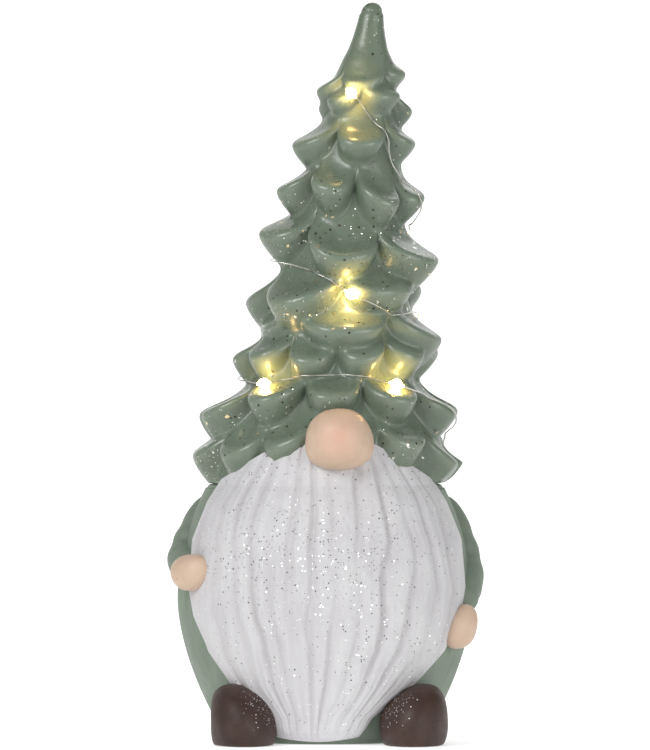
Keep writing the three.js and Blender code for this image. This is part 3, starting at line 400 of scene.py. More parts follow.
# ------------------------------------------------------------------ body
# A hollow slip-cast egg with an opening in its floor for the battery unit and a low collar on top
# that the hat drops over. It is painted a matt sage green.
GAP = 0.3
DEPTH_RATIO = 0.9
body_low, body_high = box_mm("body_shell")
hat_low, hat_high = box_mm("hat_shell")
BODY_HEIGHT = hat_low[2] - GAP
BELLY_RADIUS = (body_high[0] - body_low[0]) / 2
AXIS_Y = (body_high[1] + body_low[1]) / 2
BELLY_HEIGHT, BASE_RADIUS, SHOULDER_RADIUS = 57, 40, 47.8
NECK_TAPER = 0.12
BODY_WALL, BODY_FLOOR = 5, 6
COLLAR_RADIUS = 36


def body_radius(z):
    """Half-width of the body: a parabola above the belly, a fuller curve below it, and above the
    shoulder a slow taper, which is the surface that the beard goes on over under the hat."""
    below = BASE_RADIUS + (BELLY_RADIUS - BASE_RADIUS) * (1 - np.clip(1 - z / BELLY_HEIGHT, 0, 1) ** 1.7)
    rise = (z - BELLY_HEIGHT) / (BODY_HEIGHT - BELLY_HEIGHT)
    above = SHOULDER_RADIUS + (BELLY_RADIUS - SHOULDER_RADIUS) * (1 - rise**2)
    neck = SHOULDER_RADIUS - NECK_TAPER * (z - BODY_HEIGHT)
    return np.where(z < BELLY_HEIGHT, below, np.where(z < BODY_HEIGHT, above, neck))


def on_body(azimuth, z, outside):
    """A point a distance outside the body's oval surface, at an azimuth and a height."""
    r = body_radius(z)
    x = (r + outside) * np.sin(azimuth)
    y = AXIS_Y - (r * DEPTH_RATIO + outside) * np.cos(azimuth)
    return points_of(x, y, z)


def oval_rings(radius, z, azimuth):
    """Oval rings about the body's axis, one for each radius and height."""
    r = np.asarray(radius, float)[:, None]
    level = np.asarray(z, float)[:, None]
    x = r * np.sin(azimuth)
    y = AXIS_Y - r * DEPTH_RATIO * np.cos(azimuth)
    return points_of(x, y, level)


def square_rings(half_x, half_y, z, azimuth):
    """Rectangular rings about the body's axis: each column goes out until it meets a side."""
    reach = 1 / np.maximum(np.abs(np.sin(azimuth)) / half_x, np.abs(np.cos(azimuth)) / half_y)
    level = np.asarray(z, float)[:, None]
    x = reach * np.sin(azimuth)
    y = AXIS_Y - reach * np.cos(azimuth)
    return points_of(x, y, level)


# Brushed paint: long soft streaks and pores, as a number about 0.5.
paint_tree, paint_in, paint_out = group(
    "brushed_paint",
    {"Place": ("Vector", (0, 0, 0)), "Streak": ("Vector", (60, 60, 14))},
    {"Coat": ("Float", 0), "Pores": ("Float", 0)},
)
given = paint_in.outputs
stretched = combine_vectors(paint_tree, "MULTIPLY", given["Place"], given["Streak"])
bristles = {"Vector": stretched, "Scale": 4, "Detail": 5, "Roughness": 0.62, "Distortion": 0.4}
streaks = put(paint_tree, "TexNoise", bristles)
clouds = put(paint_tree, "TexNoise", {"Vector": given["Place"], "Scale": 45, "Detail": 2})
coat = put(paint_tree, "Mix", {"Factor": 0.45, "A": streaks.outputs["Fac"], "B": clouds.outputs["Fac"]})
pore_cells = put(paint_tree, "TexVoronoi", {"Vector": given["Place"], "Scale": 420, "Randomness": 1})
pore_size = put(paint_tree, "SeparateColor", {"Color": pore_cells.outputs["Color"]})
pore_limit = spread(paint_tree, pore_size.outputs["Red"], 0.9, 1.0, 0.0, 0.22)
pores = combine(paint_tree, "LESS_THAN", pore_cells.outputs["Distance"], pore_limit)
feed(paint_out, "Coat", coat.outputs["Result"])
feed(paint_out, "Pores", pores)


def brushed(tree, streak):
    """The brushed paint group placed in a material, with its streaks' frequency along each axis."""
    node = put(tree, "Group", {"Place": object_place(tree), "Streak": streak}, node_tree=paint_tree)
    return node.outputs["Coat"], node.outputs["Pores"]


def painted(name, dark, light, roughness, streak=(60, 60, 14), depth=0.12):
    """Paint over fired clay: two close tones in brush streaks, with a few pin-holes."""
    material, tree, shader = finish(name, roughness)
    coat_mask, pore_mask = brushed(tree, streak)
    tone = blend_colour(tree, spread(tree, coat_mask, 0.36, 0.64), dark, light)
    pitted = blend_colour(tree, pore_mask, tone, [c * 0.6 for c in dark])
    feed(shader, "Base Color", pitted)
    feed(shader, "Roughness", spread(tree, coat_mask, 0.35, 0.65, roughness + 0.08, roughness - 0.08))
    fine_grain = grain(tree, 320, 1500, 0.5)
    height = combine(tree, "ADD", coat_mask, fine_grain)
    pitted_height = combine(tree, "SUBTRACT", height, pore_mask)
    roughen(tree, shader, pitted_height, depth)
    return material, tree, shader


SAGE_DARK, SAGE_LIGHT = (0.150, 0.192, 0.146), (0.182, 0.226, 0.174)
sage_matt, _, _ = painted("sage_matt", SAGE_DARK, SAGE_LIGHT, 0.6)

OPENING_ROOM = 0.9
housing_low, housing_high = box_mm("battery_housing")
_, door_high = box_mm("battery_door")
FLANGE = 2
FLANGE_TOP = door_high[2] + 1.2 + GAP
open_x, open_y, _ = (housing_high - housing_low) / 2 + OPENING_ROOM
round_about = np.linspace(0, 2 * np.pi, 256, endpoint=False)
quarter = np.linspace(0, np.pi / 2, 6)
EDGE = 1.5
wall_z = np.linspace(EDGE, BODY_HEIGHT - EDGE, 100)
inner_z = np.linspace(BODY_HEIGHT - BODY_WALL, BODY_FLOOR, 40)
shoulder = body_radius(np.array([BODY_HEIGHT]))[0]
foot_r = body_radius(wall_z[:1]) - EDGE * (1 - np.sin(quarter))
shoulder_z = BODY_HEIGHT - EDGE * (1 - np.sin(quarter))
COLLAR_HEIGHT = 6
collar_top = BODY_HEIGHT + COLLAR_HEIGHT
collar_z = [BODY_HEIGHT, BODY_HEIGHT + 1, collar_top - 1, collar_top]
neck_z = [collar_top, collar_top - 1, BODY_HEIGHT - BODY_WALL + 1]
body_rings = np.vstack([
    oval_rings(foot_r, EDGE * (1 - np.cos(quarter)), round_about),
    oval_rings(body_radius(wall_z[1:]), wall_z[1:], round_about),
    oval_rings(shoulder - EDGE * (1 - np.cos(quarter)), shoulder_z, round_about),
    oval_rings(np.array([1, 0, 0, -1]) + COLLAR_RADIUS, collar_z, round_about),
    oval_rings(np.array([1, 0, 0]) + COLLAR_RADIUS - BODY_WALL, neck_z, round_about),
    oval_rings(body_radius(inner_z) - BODY_WALL, inner_z, round_about),
    square_rings(open_x - FLANGE, open_y - FLANGE, [BODY_FLOOR, FLANGE_TOP], round_about),
    square_rings(open_x, open_y, [FLANGE_TOP, 1, 0], round_about),
])
skin("body_cast", body_rings, sage_matt, "body_shell", wrap=True)

# ------------------------------------------------------------------ hat
# A hollow slip-cast cone that leans to one side, modelled as a fir tree in ten tiers of drooping
# lobes. Its sage glaze is darker where it pools and is painted paler along the lobes' lips as a
# painted highlight, and it holds flakes of gold and silver foil and a few dark specks.
HAT_FOOT = hat_low[2]
HAT_HEIGHT = hat_high[2] - hat_low[2]
HAT_LEAN, LEAN_POWER, TIP_RADIUS = 19.4, 1.05, 4.4
TRUNK_HEIGHTS = [0, 18, 30, 42, 66, 90, 108, 129, 148, 158, 167, 172, 177, 182, 187, 192, 196]
TRUNK_RADII = [46.5, 45, 38, 32.5, 28.5, 24.5, 20.8, 18, 14.3, 12.6, 11.2, 9.8, 7.8, 6.5, 5.5, 4.7, 4.4]

# Tiers from the tip down: heights of the lobes' lips at the five stations in front, their reach from the
# axis there, how many lobes go round, the first one's azimuth, and how fast they fall away.
STATIONS = [-180, -90, -40, 0, 40, 90, 180]
TIERS = [
    ((160.5, 161.0, 162.0, 164.0, 167.5), (18.8, 16.5, 15.0, 15.5, 16.3), 4, 0, 3.6),
    ((153.0, 155.0, 156.0, 157.0, 152.5), (17.5, 18.5, 18.0, 18.5, 21.6), 5, -36, 3.4),
    ((138.0, 138.0, 138.5, 138.5, 138.5), (28.0, 25.5, 24.5, 24.5, 23.2), 5, 4, 3.6),
    ((119.5, 120.5, 116.5, 112.0, 117.0), (31.8, 30.5, 30.0, 31.5, 29.2), 7, 27, 5.0),
    ((102.0, 97.0, 92.0, 90.5, 90.0), (37.2, 36.0, 35.0, 38.0, 40.0), 5, -6, 4.2),
    ((74.5, 73.0, 75.0, 78.5, 77.0), (40.4, 39.0, 37.0, 37.0, 31.5), 5, -36, 5.4),
    ((62.0, 62.0, 62.5, 60.0, 57.5), (32.0, 36.0, 38.5, 41.0, 43.0), 5, 2, 4.2),
    ((51.5, 51.0, 49.5, 52.0, 52.5), (42.4, 41.0, 40.0, 40.5, 41.4), 10, 18, 4.6),
    ((28.5, 34.0, 35.0, 34.0, 29.5), (56.2, 50.5, 46.8, 50.0, 53.8), 10, 0, 3.6),
    ((11.5, 12.5, 21.0, 15.5, 6.8), (55.0, 52.5, 50.5, 53.0, 57.0), 12, -20, 3.6),
]


def hat_axis(z):
    """Sideways place of the hat's axis, which leans a little more and more towards the tip."""
    return HAT_LEAN * np.clip((z - HAT_FOOT) / HAT_HEIGHT, 0, 1) ** LEAN_POWER


def trunk_radius(height):
    """Radius of the trunk between the tiers, drawn in to a round tip."""
    plain = np.interp(height, TRUNK_HEIGHTS, TRUNK_RADII)
    into_tip = TIP_RADIUS - np.clip(HAT_HEIGHT - height, 0, TIP_RADIUS)
    tip = np.sqrt(np.maximum(TIP_RADIUS**2 - into_tip**2, 0))
    return np.minimum(plain, np.where(into_tip > 0, tip, plain))


def around(values, azimuth):
    """Values at the five stations in front, joined round the hat by half cosine waves. The back's
    value is midway between the two sides'."""
    back = (values[0] + values[-1]) / 2
    knots = np.array([back, *values, back])
    turn = np.mod(np.degrees(azimuth) + 180, 360) - 180
    stretch = np.clip(np.searchsorted(STATIONS, turn, side="right") - 1, 0, len(STATIONS) - 2)
    start, stop = np.take(STATIONS, stretch), np.take(STATIONS, stretch + 1)
    ease = (1 - np.cos(np.pi * (turn - start) / (stop - start))) / 2
    return knots[stretch] + (knots[stretch + 1] - knots[stretch]) * ease


SIDE_SAG, SAG_SQUARE = 0.22, 0.95
PETAL_POWER, PETAL_FULLNESS = 2.3, 0.85
LIP_WANDER, REACH_WANDER = 0.8, 0.012
LIP_ROUND, LIP_ROUND_SHARE, LIP_FILL, LIP_SOFTNESS = 3, 0.18, 1.5, 7
BELL_POWER, BELL_SHARE, SLOW_FALL, SLOW_FALL_AT_SIDE = 1.5, 0.65, 0.15, 0.25
TIER_SINK, TIER_SINK_OVER = 2.4, 24
JOIN_WIDTH, JOIN_FILL = 2.4, 0.6
HAT_FOOT_RADIUS, HAT_FOOT_FLARE = 46.5, 3.2


def hat_surface(azimuth, z, dished=0.0):
    """Radius of the hat, and how near a point is to a lobe's lip, from 0 to 1.

    Each tier's lobe is a tongue whose reach falls off as 1 - u^2.3 over its width u. Above its
    lip the lobe sweeps back to the trunk as a bell and an exponential, below it the underside
    goes straight in, and a smooth minimum of the two rounds the lip. The hat is the smooth
    largest of the trunk and all the tiers. dished hollows each lobe behind its lip."""
    height = z - HAT_FOOT
    trunk = trunk_radius(height)
    surface, lips = trunk, np.zeros(np.shape(trunk))
    for number, (heights, reaches, count, first, fall) in enumerate(TIERS):
        pitch = 2 * np.pi / count
        turn = (azimuth - np.radians(first)) / pitch
        index = np.round(turn)
        lobe = np.mod(index, count)
        across = np.abs(2 * (turn - index))
        reach, tip = around(reaches, azimuth), around(heights, azimuth)
        sag = SIDE_SAG * pitch * reach * (1 - np.sqrt(1 - SAG_SQUARE * across**2))
        above = height - tip - LIP_WANDER * np.sin(2.7 * number + 4.1 * lobe) - sag
        petal = np.maximum(1 - across**PETAL_POWER, 0) ** PETAL_FULLNESS
        root = np.interp(tip, TRUNK_HEIGHTS, TRUNK_RADII)
        round_by = (LIP_ROUND + LIP_ROUND_SHARE * reach) * petal + 0.01
        uneven = reach * (1 + REACH_WANDER * np.sin(5.3 * number + 2.3 * lobe + 1))
        edge = root + (uneven - root + LIP_FILL) * petal + round_by / 4
        rise = (above + np.sqrt(above**2 + LIP_SOFTNESS)) / 2
        bell = np.exp(-((rise / fall) ** BELL_POWER))
        slow = np.exp(-rise / (reach * (SLOW_FALL + SLOW_FALL_AT_SIDE * across**2)))
        over = trunk + (edge - trunk) * (BELL_SHARE * bell + (1 - BELL_SHARE) * slow)
        over = over - TIER_SINK * np.minimum(rise / TIER_SINK_OVER, 1)
        over = over - dished * petal * np.exp(-(((rise - 0.15 * reach - 1.5) / (0.07 * reach + 1)) ** 2))
        under = edge + above
        near = np.maximum(round_by - np.abs(over - under), 0)
        tier = np.minimum(over, under) - near**2 / (4 * round_by)
        lip = petal * np.exp(-(((above + 0.5) / (1.5 + 0.03 * reach)) ** 2))
        lips = np.where(tier > surface, lip, lips * np.clip(1 - (tier - surface + 1), 0, 1))
        overlap = np.maximum(JOIN_WIDTH - np.abs(surface - tier), 0) / JOIN_WIDTH
        surface = np.maximum(surface, tier) + overlap**2 * JOIN_FILL
    foot_limit = HAT_FOOT_RADIUS + HAT_FOOT_FLARE * np.sqrt(np.maximum(height, 0))
    return np.minimum(surface, foot_limit), lips


def on_hat(azimuth, radius, z):
    """A point at an azimuth, radius and height about the hat's leaning axis."""
    x = hat_axis(z) + radius * np.sin(azimuth)
    y = AXIS_Y - radius * DEPTH_RATIO * np.cos(azimuth)
    return points_of(x, y, z)


def even_heights(azimuth, rows, low, high):
    """Heights for each column, spaced evenly along the hat's surface instead of along the axis."""
    level = np.linspace(low, high, 700)
    radius = hat_surface(azimuth[:, None], level)[0]
    step = np.hypot(np.diff(radius, axis=1), np.diff(level))
    run = np.concatenate([np.zeros((len(azimuth), 1)), np.cumsum(step, axis=1)], axis=1)
    run = run / run[:, -1:] + 2 * np.arange(len(azimuth))[:, None]
    wanted = np.linspace(0, 1, rows) + 2 * np.arange(len(azimuth))[:, None]
    heights = np.interp(wanted, run.ravel(), np.tile(level, len(azimuth))).reshape(len(azimuth), rows)
    for _ in range(6):
        heights = (np.roll(heights, 1, 0) + 2 * heights + np.roll(heights, -1, 0)) / 4
    return heights.T


HAT_COLUMNS, HAT_ROWS = 384, 236
hat_about = np.linspace(0, 2 * np.pi, HAT_COLUMNS, endpoint=False)
hat_z = even_heights(hat_about, HAT_ROWS, HAT_FOOT, HAT_FOOT + HAT_HEIGHT - 0.02)
hat_r, hat_lip_highlight = hat_surface(np.broadcast_to(hat_about, hat_z.shape), hat_z, 0.5)
outside = on_hat(hat_about, hat_r, hat_z)
bore_r = np.array([38, 37, 37, 35, 33, 27.5, 23.5, 19, 15, 12, 4, 0.5])[:, None]
bore_z = np.array([0, 1, 7, 20, 30, 42, 66, 86, 109, 130, 149, 150])[:, None] + HAT_FOOT
inside = on_hat(hat_about, bore_r, bore_z)
hat_rings = np.concatenate([inside[::-1], outside])
# The lip mask marks where the glaze is painted paler: a painted highlight along the lobes' lips.
hat_masks = {"lip": np.concatenate([np.zeros(inside.shape[:2]), hat_lip_highlight])}

# Flakes: each cell of a cellular pattern holds one flake or none, warped out of round. Gives the
# flakes' mask, a random number for each, and a random tilt.
flake_tree, flake_in, flake_out = group(
    "flakes",
    {
        "Place": ("Vector", (0, 0, 0)),
        "Scale": ("Float", 500),
        "Share": ("Float", 0.1),
        "Size": ("Float", 0.3),
        "Warp": ("Float", 0.0004),
    },
    {"Mask": ("Float", 0), "Pick": ("Float", 0), "Tilt": ("Vector", (0, 0, 0))},
)
wobble = put(flake_tree, "TexNoise", {"Vector": flake_in.outputs["Place"], "Scale": 1400, "Detail": 1})
HALF = (0.5, 0.5, 0.5)
centred = combine_vectors(flake_tree, "SUBTRACT", wobble.outputs["Color"], HALF)
shift = combine_vectors(flake_tree, "SCALE", centred, flake_in.outputs["Warp"])
warped = combine_vectors(flake_tree, "ADD", flake_in.outputs["Place"], shift)
cells = put(flake_tree, "TexVoronoi", {"Vector": warped, "Scale": flake_in.outputs["Scale"]})
chance = put(flake_tree, "SeparateColor", {"Color": cells.outputs["Color"]})
held = combine(flake_tree, "LESS_THAN", chance.outputs["Red"], flake_in.outputs["Share"])
smaller = spread(flake_tree, chance.outputs["Green"], 0, 1, 0.5, 1)
size = combine(flake_tree, "MULTIPLY", flake_in.outputs["Size"], smaller)
within = combine(flake_tree, "LESS_THAN", cells.outputs["Distance"], size)
flake = combine(flake_tree, "MULTIPLY", held, within)
tilt = combine_vectors(flake_tree, "SUBTRACT", cells.outputs["Color"], HALF)
feed(flake_out, "Mask", flake)
feed(flake_out, "Pick", chance.outputs["Blue"])
feed(flake_out, "Tilt", tilt)


def flakes(tree, scale, share, size, warp=0.0004):
    """The flakes group placed in a material. share may be a number or a socket."""
    inputs = {"Place": object_place(tree), "Scale": scale, "Share": share, "Size": size, "Warp": warp}
    return put(tree, "Group", inputs, node_tree=flake_tree).outputs


def mask_of(tree, label):
    """The numbers that a mesh holds under a name."""
    return put(tree, "Attribute", attribute_name=label).outputs["Fac"]


def tilted(tree, tilts, mask, amount):
    """The surface's normal leaned over by each flake's own tilt, inside the mask only."""
    inside = combine(tree, "MULTIPLY", mask, amount)
    lean = combine_vectors(tree, "SCALE", tilts, inside)
    summed = combine_vectors(tree, "ADD", put(tree, "NewGeometry").outputs["Normal"], lean)
    return put(tree, "VectorMath", {0: summed}, operation="NORMALIZE").outputs[0]


sage_glaze, tree, shader = finish("sage_glaze", 0.3)
lip_highlight_mask = mask_of(tree, "lip")
pooled, _ = brushed(tree, (40, 40, 24))
pools = spread(tree, pooled, 0.36, 0.64)
glaze_tone = blend_colour(tree, pools, (0.112, 0.146, 0.104), (0.148, 0.187, 0.138))
# The lobes' lips get a paler glaze colour here, which is a painted highlight.
glaze_lip_highlight = blend_colour(tree, spread(tree, lip_highlight_mask, 0.1, 1.0, 0, 0.55), glaze_tone, (0.20, 0.245, 0.185))
drift = put(tree, "TexNoise", {"Vector": object_place(tree), "Scale": 28, "Detail": 2}).outputs["Fac"]
clustered = spread(tree, drift, 0.48, 0.66, 0.010, 0.16)
silver = flakes(tree, 1150, clustered, 0.40)
gold = flakes(tree, 330, spread(tree, drift, 0.48, 0.64, 0.008, 0.16), 0.30, 0.0018)
dark_specks = flakes(tree, 520, spread(tree, drift, 0.42, 0.62, 0.015, 0.26), 0.30, 0.0008)
specked = blend_colour(tree, dark_specks["Mask"], glaze_lip_highlight, (0.03, 0.02, 0.012))
dusted = blend_colour(tree, silver["Mask"], specked, (0.8, 0.8, 0.74))
gold_or_pale = spread(tree, gold["Pick"], 0.45, 0.55)
gold_tone = blend_colour(tree, gold_or_pale, (0.83, 0.68, 0.40), (0.74, 0.74, 0.68))
feed(shader, "Base Color", blend_colour(tree, gold["Mask"], dusted, gold_tone))
metal_flakes = combine(tree, "MAXIMUM", silver["Mask"], gold["Mask"])
feed(shader, "Metallic", metal_flakes)
glaze_rough = spread(tree, pooled, 0.35, 0.65, 0.34, 0.22)
feed(shader, "Roughness", glaze_rough)
leaned = tilted(tree, silver["Tilt"], silver["Mask"], 0.9)
glaze_waves = grain(tree, 60, 420, 0.25)
glaze_height = combine(tree, "ADD", glaze_waves, combine(tree, "MULTIPLY", gold["Mask"], 0.15))
roughen(tree, shader, glaze_height, 0.45, leaned)
skin("hat_cast", hat_rings, sage_glaze, "hat_shell", masks=hat_masks)

# ------------------------------------------------------------------ beard
# A slab of clay laid down the body's front from under the hat to the floor, combed into long
# strands that meet at the foot. It is painted white and dusted with silver glitter while wet.
BEARD_HEIGHTS = [0, 11, 23.5, 37, 51, 63, 82, 97, 107, 126]
BEARD_HALF_WIDTHS = [15, 21, 36, 47, 53.4, 55.6, 54, 48.2, 42, 30]
BEARD_TOP, BEARD_SIDE_TOP, BEARD_FOOT = 125, 106, 1
BEARD_THICKNESS, BEARD_EDGE, BEARD_CHIN = 4.6, 1.6, 7
STRANDS = 13
BEARD_COLUMNS, BEARD_ROWS = 216, 168


def slab(name, front, back, material, node, masks=None):
    """A closed slab between a front and a back grid of points, with walls round its four edges."""
    rows, columns = front.shape[:2]
    number = np.arange(rows * columns).reshape(rows, columns)
    faces = grid_faces(number)
    rim = np.concatenate([number[0, :-1], number[:-1, -1], number[-1, :0:-1], number[:0:-1, 0]])
    behind = rim + rows * columns
    walls = np.stack([rim, behind, np.roll(behind, -1), np.roll(rim, -1)], -1)
    quads = np.vstack([faces, faces[:, ::-1] + rows * columns, walls])
    points = np.concatenate([front.reshape(-1, 3), back.reshape(-1, 3)])
    enlist(mesh_piece(name, points, quads.tolist(), material, masks), node)


def strand_depth(across, up):
    """How far the combing sinks in, and a mask of the grooves, where the beard's paint is darkened as
    painted shade.

    The strands' phase runs evenly across with slow waves in it. Each groove is a bell that is
    much steeper on one side, weaker on some strands and towards the foot, and finer combing
    lies over the strands as low waves."""
    phase = (across / 2 + 0.5) * STRANDS + 0.30 * np.sin(4.3 * across + 1.1 + 1.6 * up)
    phase = phase + 0.12 * np.sin(9 * up + 9 * across) + 0.06 * np.sin(23 * up + 5 * across)
    strand = np.round(phase)
    nearest = phase - strand
    bell = np.exp(-((nearest / np.where(nearest < 0, 0.10, 0.27)) ** 2))
    strength = 0.8 + 0.35 * np.sin(2.1 * strand + 3 * up) + 0.2 * np.sin(5.3 * strand + 11 * up)
    strength = strength * (0.3 + 0.7 * np.clip(up / 0.3, 0, 1))
    combing = 0.10 * np.sin(2 * np.pi * 2.3 * phase + 4 * up)
    combing = combing + 0.05 * np.sin(2 * np.pi * 5.3 * phase - 7 * up + 2)
    fade = np.clip((1 - np.abs(across)) / 0.06, 0, 1)
    return fade * (1.5 * strength * bell + combing), bell * fade * strength


def beard_point(across, up, outside):
    """A point of the beard: across from -1 to 1 between its edges, up from 0 to 1 from foot to top."""
    top = BEARD_TOP + (BEARD_SIDE_TOP - BEARD_TOP) * np.abs(across) ** 2.5
    foot = BEARD_FOOT + 2 * across**2
    z = foot + (top - foot) * up
    middle = np.interp(z, [0, 40, 120], [-3.4, 0.8, 0.8])
    x = middle + across * np.interp(z, BEARD_HEIGHTS, BEARD_HALF_WIDTHS)
    azimuth = np.arcsin(np.clip(x / body_radius(z), -1, 1))
    return on_body(azimuth, z, outside)


across = np.sin(np.linspace(-np.pi / 2, np.pi / 2, BEARD_COLUMNS))[None, :]
up = np.sin(np.linspace(0, np.pi / 2, BEARD_ROWS))[:, None] ** 1.25
crown = np.sqrt(1 - 0.97 * across**4)
level = beard_point(across, up, 0)[..., 2]
chin = BEARD_CHIN * np.maximum(1 - level / BELLY_HEIGHT, 0) ** 2
combed, grooves = strand_depth(across, up)
tuck = 1 - 0.8 * np.clip((up - 0.80) / 0.20, 0, 1) ** 1.5
rounding = np.sqrt(1 - across**12) * np.sqrt(1 - (1 - np.minimum(up * 22, 1)) ** 2)
thickness = BEARD_EDGE + (BEARD_THICKNESS + chin - BEARD_EDGE) * crown - combed * crown
front = beard_point(across, up, GAP + (thickness - GAP) * rounding * tuck)
back = beard_point(across, up, np.full(level.shape, GAP / 2))

white_glitter, tree, shader = finish("white_glitter", 0.62)
coat_mask, pore_mask = brushed(tree, (90, 90, 16))
groove_shade_mask = mask_of(tree, "groove")
white = blend_colour(tree, spread(tree, coat_mask, 0.36, 0.64), (0.505, 0.495, 0.51), (0.575, 0.57, 0.58))
# The grooves are painted darker: painted shade in the combed recesses.
white_with_groove_shade = blend_colour(tree, combine(tree, "MULTIPLY", groove_shade_mask, 0.3), white, (0.40, 0.37, 0.38))
scatter = put(tree, "TexNoise", {"Vector": object_place(tree), "Scale": 24, "Detail": 3}).outputs["Fac"]
dust_mask = mask_of(tree, "dust")
share = combine(tree, "MULTIPLY", spread(tree, scatter, 0.34, 0.62, 0.16, 0.62), dust_mask)
glitter = flakes(tree, 980, share, 0.33, 0.0002)
dark_or_bright = spread(tree, glitter["Pick"], 0.44, 0.48)
glitter_tone = blend_colour(tree, dark_or_bright, (0.10, 0.10, 0.10), (0.95, 0.95, 0.95))
feed(shader, "Base Color", blend_colour(tree, glitter["Mask"], white_with_groove_shade, glitter_tone))
feed(shader, "Metallic", combine(tree, "MULTIPLY", glitter["Mask"], 0.85))
feed(shader, "Roughness", spread(tree, glitter["Mask"], 0, 1, 0.62, 0.28))
leaned = tilted(tree, glitter["Tilt"], glitter["Mask"], 0.8)
chalk = grain(tree, 240, 1300, 0.5)
roughen(tree, shader, combine(tree, "ADD", coat_mask, chalk), 0.12, leaned)
heavier = 0.35 + 0.65 * np.exp(-(((level - 78) / 34) ** 2)) * np.exp(-((across / 0.95) ** 4))
# groove carries the grooves' painted shade to the beard's paint.
beard_masks = {"groove": grooves, "dust": heavier}
slab("beard_slab", front, back, white_glitter, "beard", beard_masks)

# ------------------------------------------------------------------ nose and hands
# A ball and two small mittens of clay, painted a pale skin tone with a soft brush. The nose sits
# between the hat's lowest lobes and the beard, and the mittens reach out of the sleeves.


def lump(centre, half, rows=72, columns=96, power=2.0, dents=0.0, seed=0.0):
    """Rings of a rounded lump from its lowest to its highest point.

    An ellipsoid whose outline in height is a superellipse of a given power, with slow waves over
    it for what the thumb leaves."""
    rise = np.linspace(-np.pi / 2, np.pi / 2, rows + 2)[1:-1, None]
    turn = np.linspace(0, 2 * np.pi, columns, endpoint=False)[None, :]
    flat = np.abs(np.cos(rise)) ** (2 / power)
    lift = np.sign(np.sin(rise)) * np.abs(np.sin(rise)) ** (2 / power)
    waves = np.sin(2 * turn + 3 * rise + seed) + 0.6 * np.sin(3 * turn - 4 * rise + 2.1 * seed)
    waves = waves + 0.4 * np.sin(5 * turn + 5 * rise)
    size = 1 + dents * waves * np.cos(rise)
    x = half[0] * flat * np.sin(turn) * size
    y = -half[1] * flat * np.cos(turn) * size
    z = half[2] * lift * size
    return points_of(x, y, z) + np.asarray(centre)


def skin_paint(name, blush_at=None, blush_reach=1.0):
    """Pale skin paint. A blush round a point fades out over a reach, both in millimetres."""
    dark, light = (0.52, 0.375, 0.272), (0.59, 0.44, 0.33)
    material, tree, shader = painted(name, dark, light, 0.5, (50, 50, 30), 0.10)
    if blush_at is not None:
        ends = {0: object_place(tree), 1: tuple(np.array(blush_at) * MM)}
        away = put(tree, "VectorMath", ends, operation="DISTANCE")
        warm = spread(tree, away.outputs["Value"], 0, blush_reach * MM, 0.6, 0.0)
        tone = shader.inputs["Base Color"].links[0].from_socket
        feed(shader, "Base Color", blend_colour(tree, warm, tone, (0.66, 0.355, 0.265)))
    return material


nose_low, nose_high = box_mm("nose")
NOSE_HALF = np.array([14.2, 12.6, 12.3])
nose_centre = (nose_low + nose_high) / 2
nose_centre[1] = nose_low[1] + NOSE_HALF[1]
nose_rings = lump(nose_centre, NOSE_HALF, 110, 150, 2.25, 0.014, 1.0)
nose_rise = (nose_rings[..., 2] - nose_centre[2]) / NOSE_HALF[2]
nose_rings[..., 0] = nose_centre[0] + (nose_rings[..., 0] - nose_centre[0]) * (0.97 - 0.10 * nose_rise)
nose_skin = skin_paint("nose_skin", nose_centre + (0, -NOSE_HALF[1], 1), 11)
skin("nose_ball", nose_rings, nose_skin, "nose")

HANDS = {
    "left": {"azimuth": -58, "z": 68.8, "half": (9.4, 6.5, 7.4), "stand": 4, "lean": 0.08, "taper": 0.06},
    "right": {"azimuth": 62, "z": 47, "half": (7.4, 5.5, 9.0), "stand": 3, "lean": 0.22, "taper": -0.10},
}
hand_skin = skin_paint("hand_skin")
for side, hand in HANDS.items():
    azimuth = np.radians(hand["azimuth"])
    centre = on_body(azimuth, np.array(hand["z"], float), hand["stand"])
    rings = lump((0, 0, 0), hand["half"], 84, 112, 2.15, 0.012, 2.0 if side == "left" else 4.0)
    slope = rings[..., 2] / hand["half"][2]
    rings[..., 0] = rings[..., 0] * (1 + hand["taper"] * slope) + hand["lean"] * rings[..., 2]
    turn = azimuth * 0.6
    x = rings[..., 0] * np.cos(turn) - rings[..., 1] * np.sin(turn)
    y = rings[..., 0] * np.sin(turn) + rings[..., 1] * np.cos(turn)
    placed = np.stack([x, y, rings[..., 2]], -1) + centre
    skin("hand_" + side + "_mitten", placed, hand_skin, "hand_" + side)

# ------------------------------------------------------------------ sleeves
# Two limbs of clay laid on the body's sides and smoothed in at the shoulder. They are painted in
# with the body, and each ends in a round hem that a mitten comes out of.
SLEEVES = {
    "left": [(-101, 99, -4), (-94, 86, -4.2), (-84, 74, -2.2), (-64, 68.5, 0)],
    "right": [(101, 99, -2.5), (96, 84, -3.4), (86, 68, -2.8), (68, 53.5, -1.2)],
}
SHOULDER_SIZE, CUFF_SIZE = 7.5, 8.2


def smooth_line(points, spacing):
    """Points at an even spacing along a smooth curve through the given ones.

    Each stretch is a cubic whose slope at a point is half the chord between that point's two
    neighbours, so the curve runs through every point without a corner."""
    p = np.vstack([2 * points[0] - points[1], points, 2 * points[-1] - points[-2]])
    before, start, stop, after = p[:-3], p[1:-2], p[2:-1], p[3:]
    t = np.linspace(0, 1, 32, endpoint=False)[:, None, None]
    bends = (2 * before - 5 * start + 4 * stop - after) * t**2
    bends = bends + (3 * start - 3 * stop + after - before) * t**3
    curve = 0.5 * (2 * start + (stop - before) * t + bends)
    curve = np.vstack([curve.transpose(1, 0, 2).reshape(-1, 3), points[-1:]])
    run = np.concatenate([[0], np.cumsum(np.linalg.norm(np.diff(curve, axis=0), axis=1))])
    at = np.linspace(0, run[-1], int(run[-1] / spacing) + 1)
    return np.stack([np.interp(at, run, curve[:, axis]) for axis in range(3)], -1)


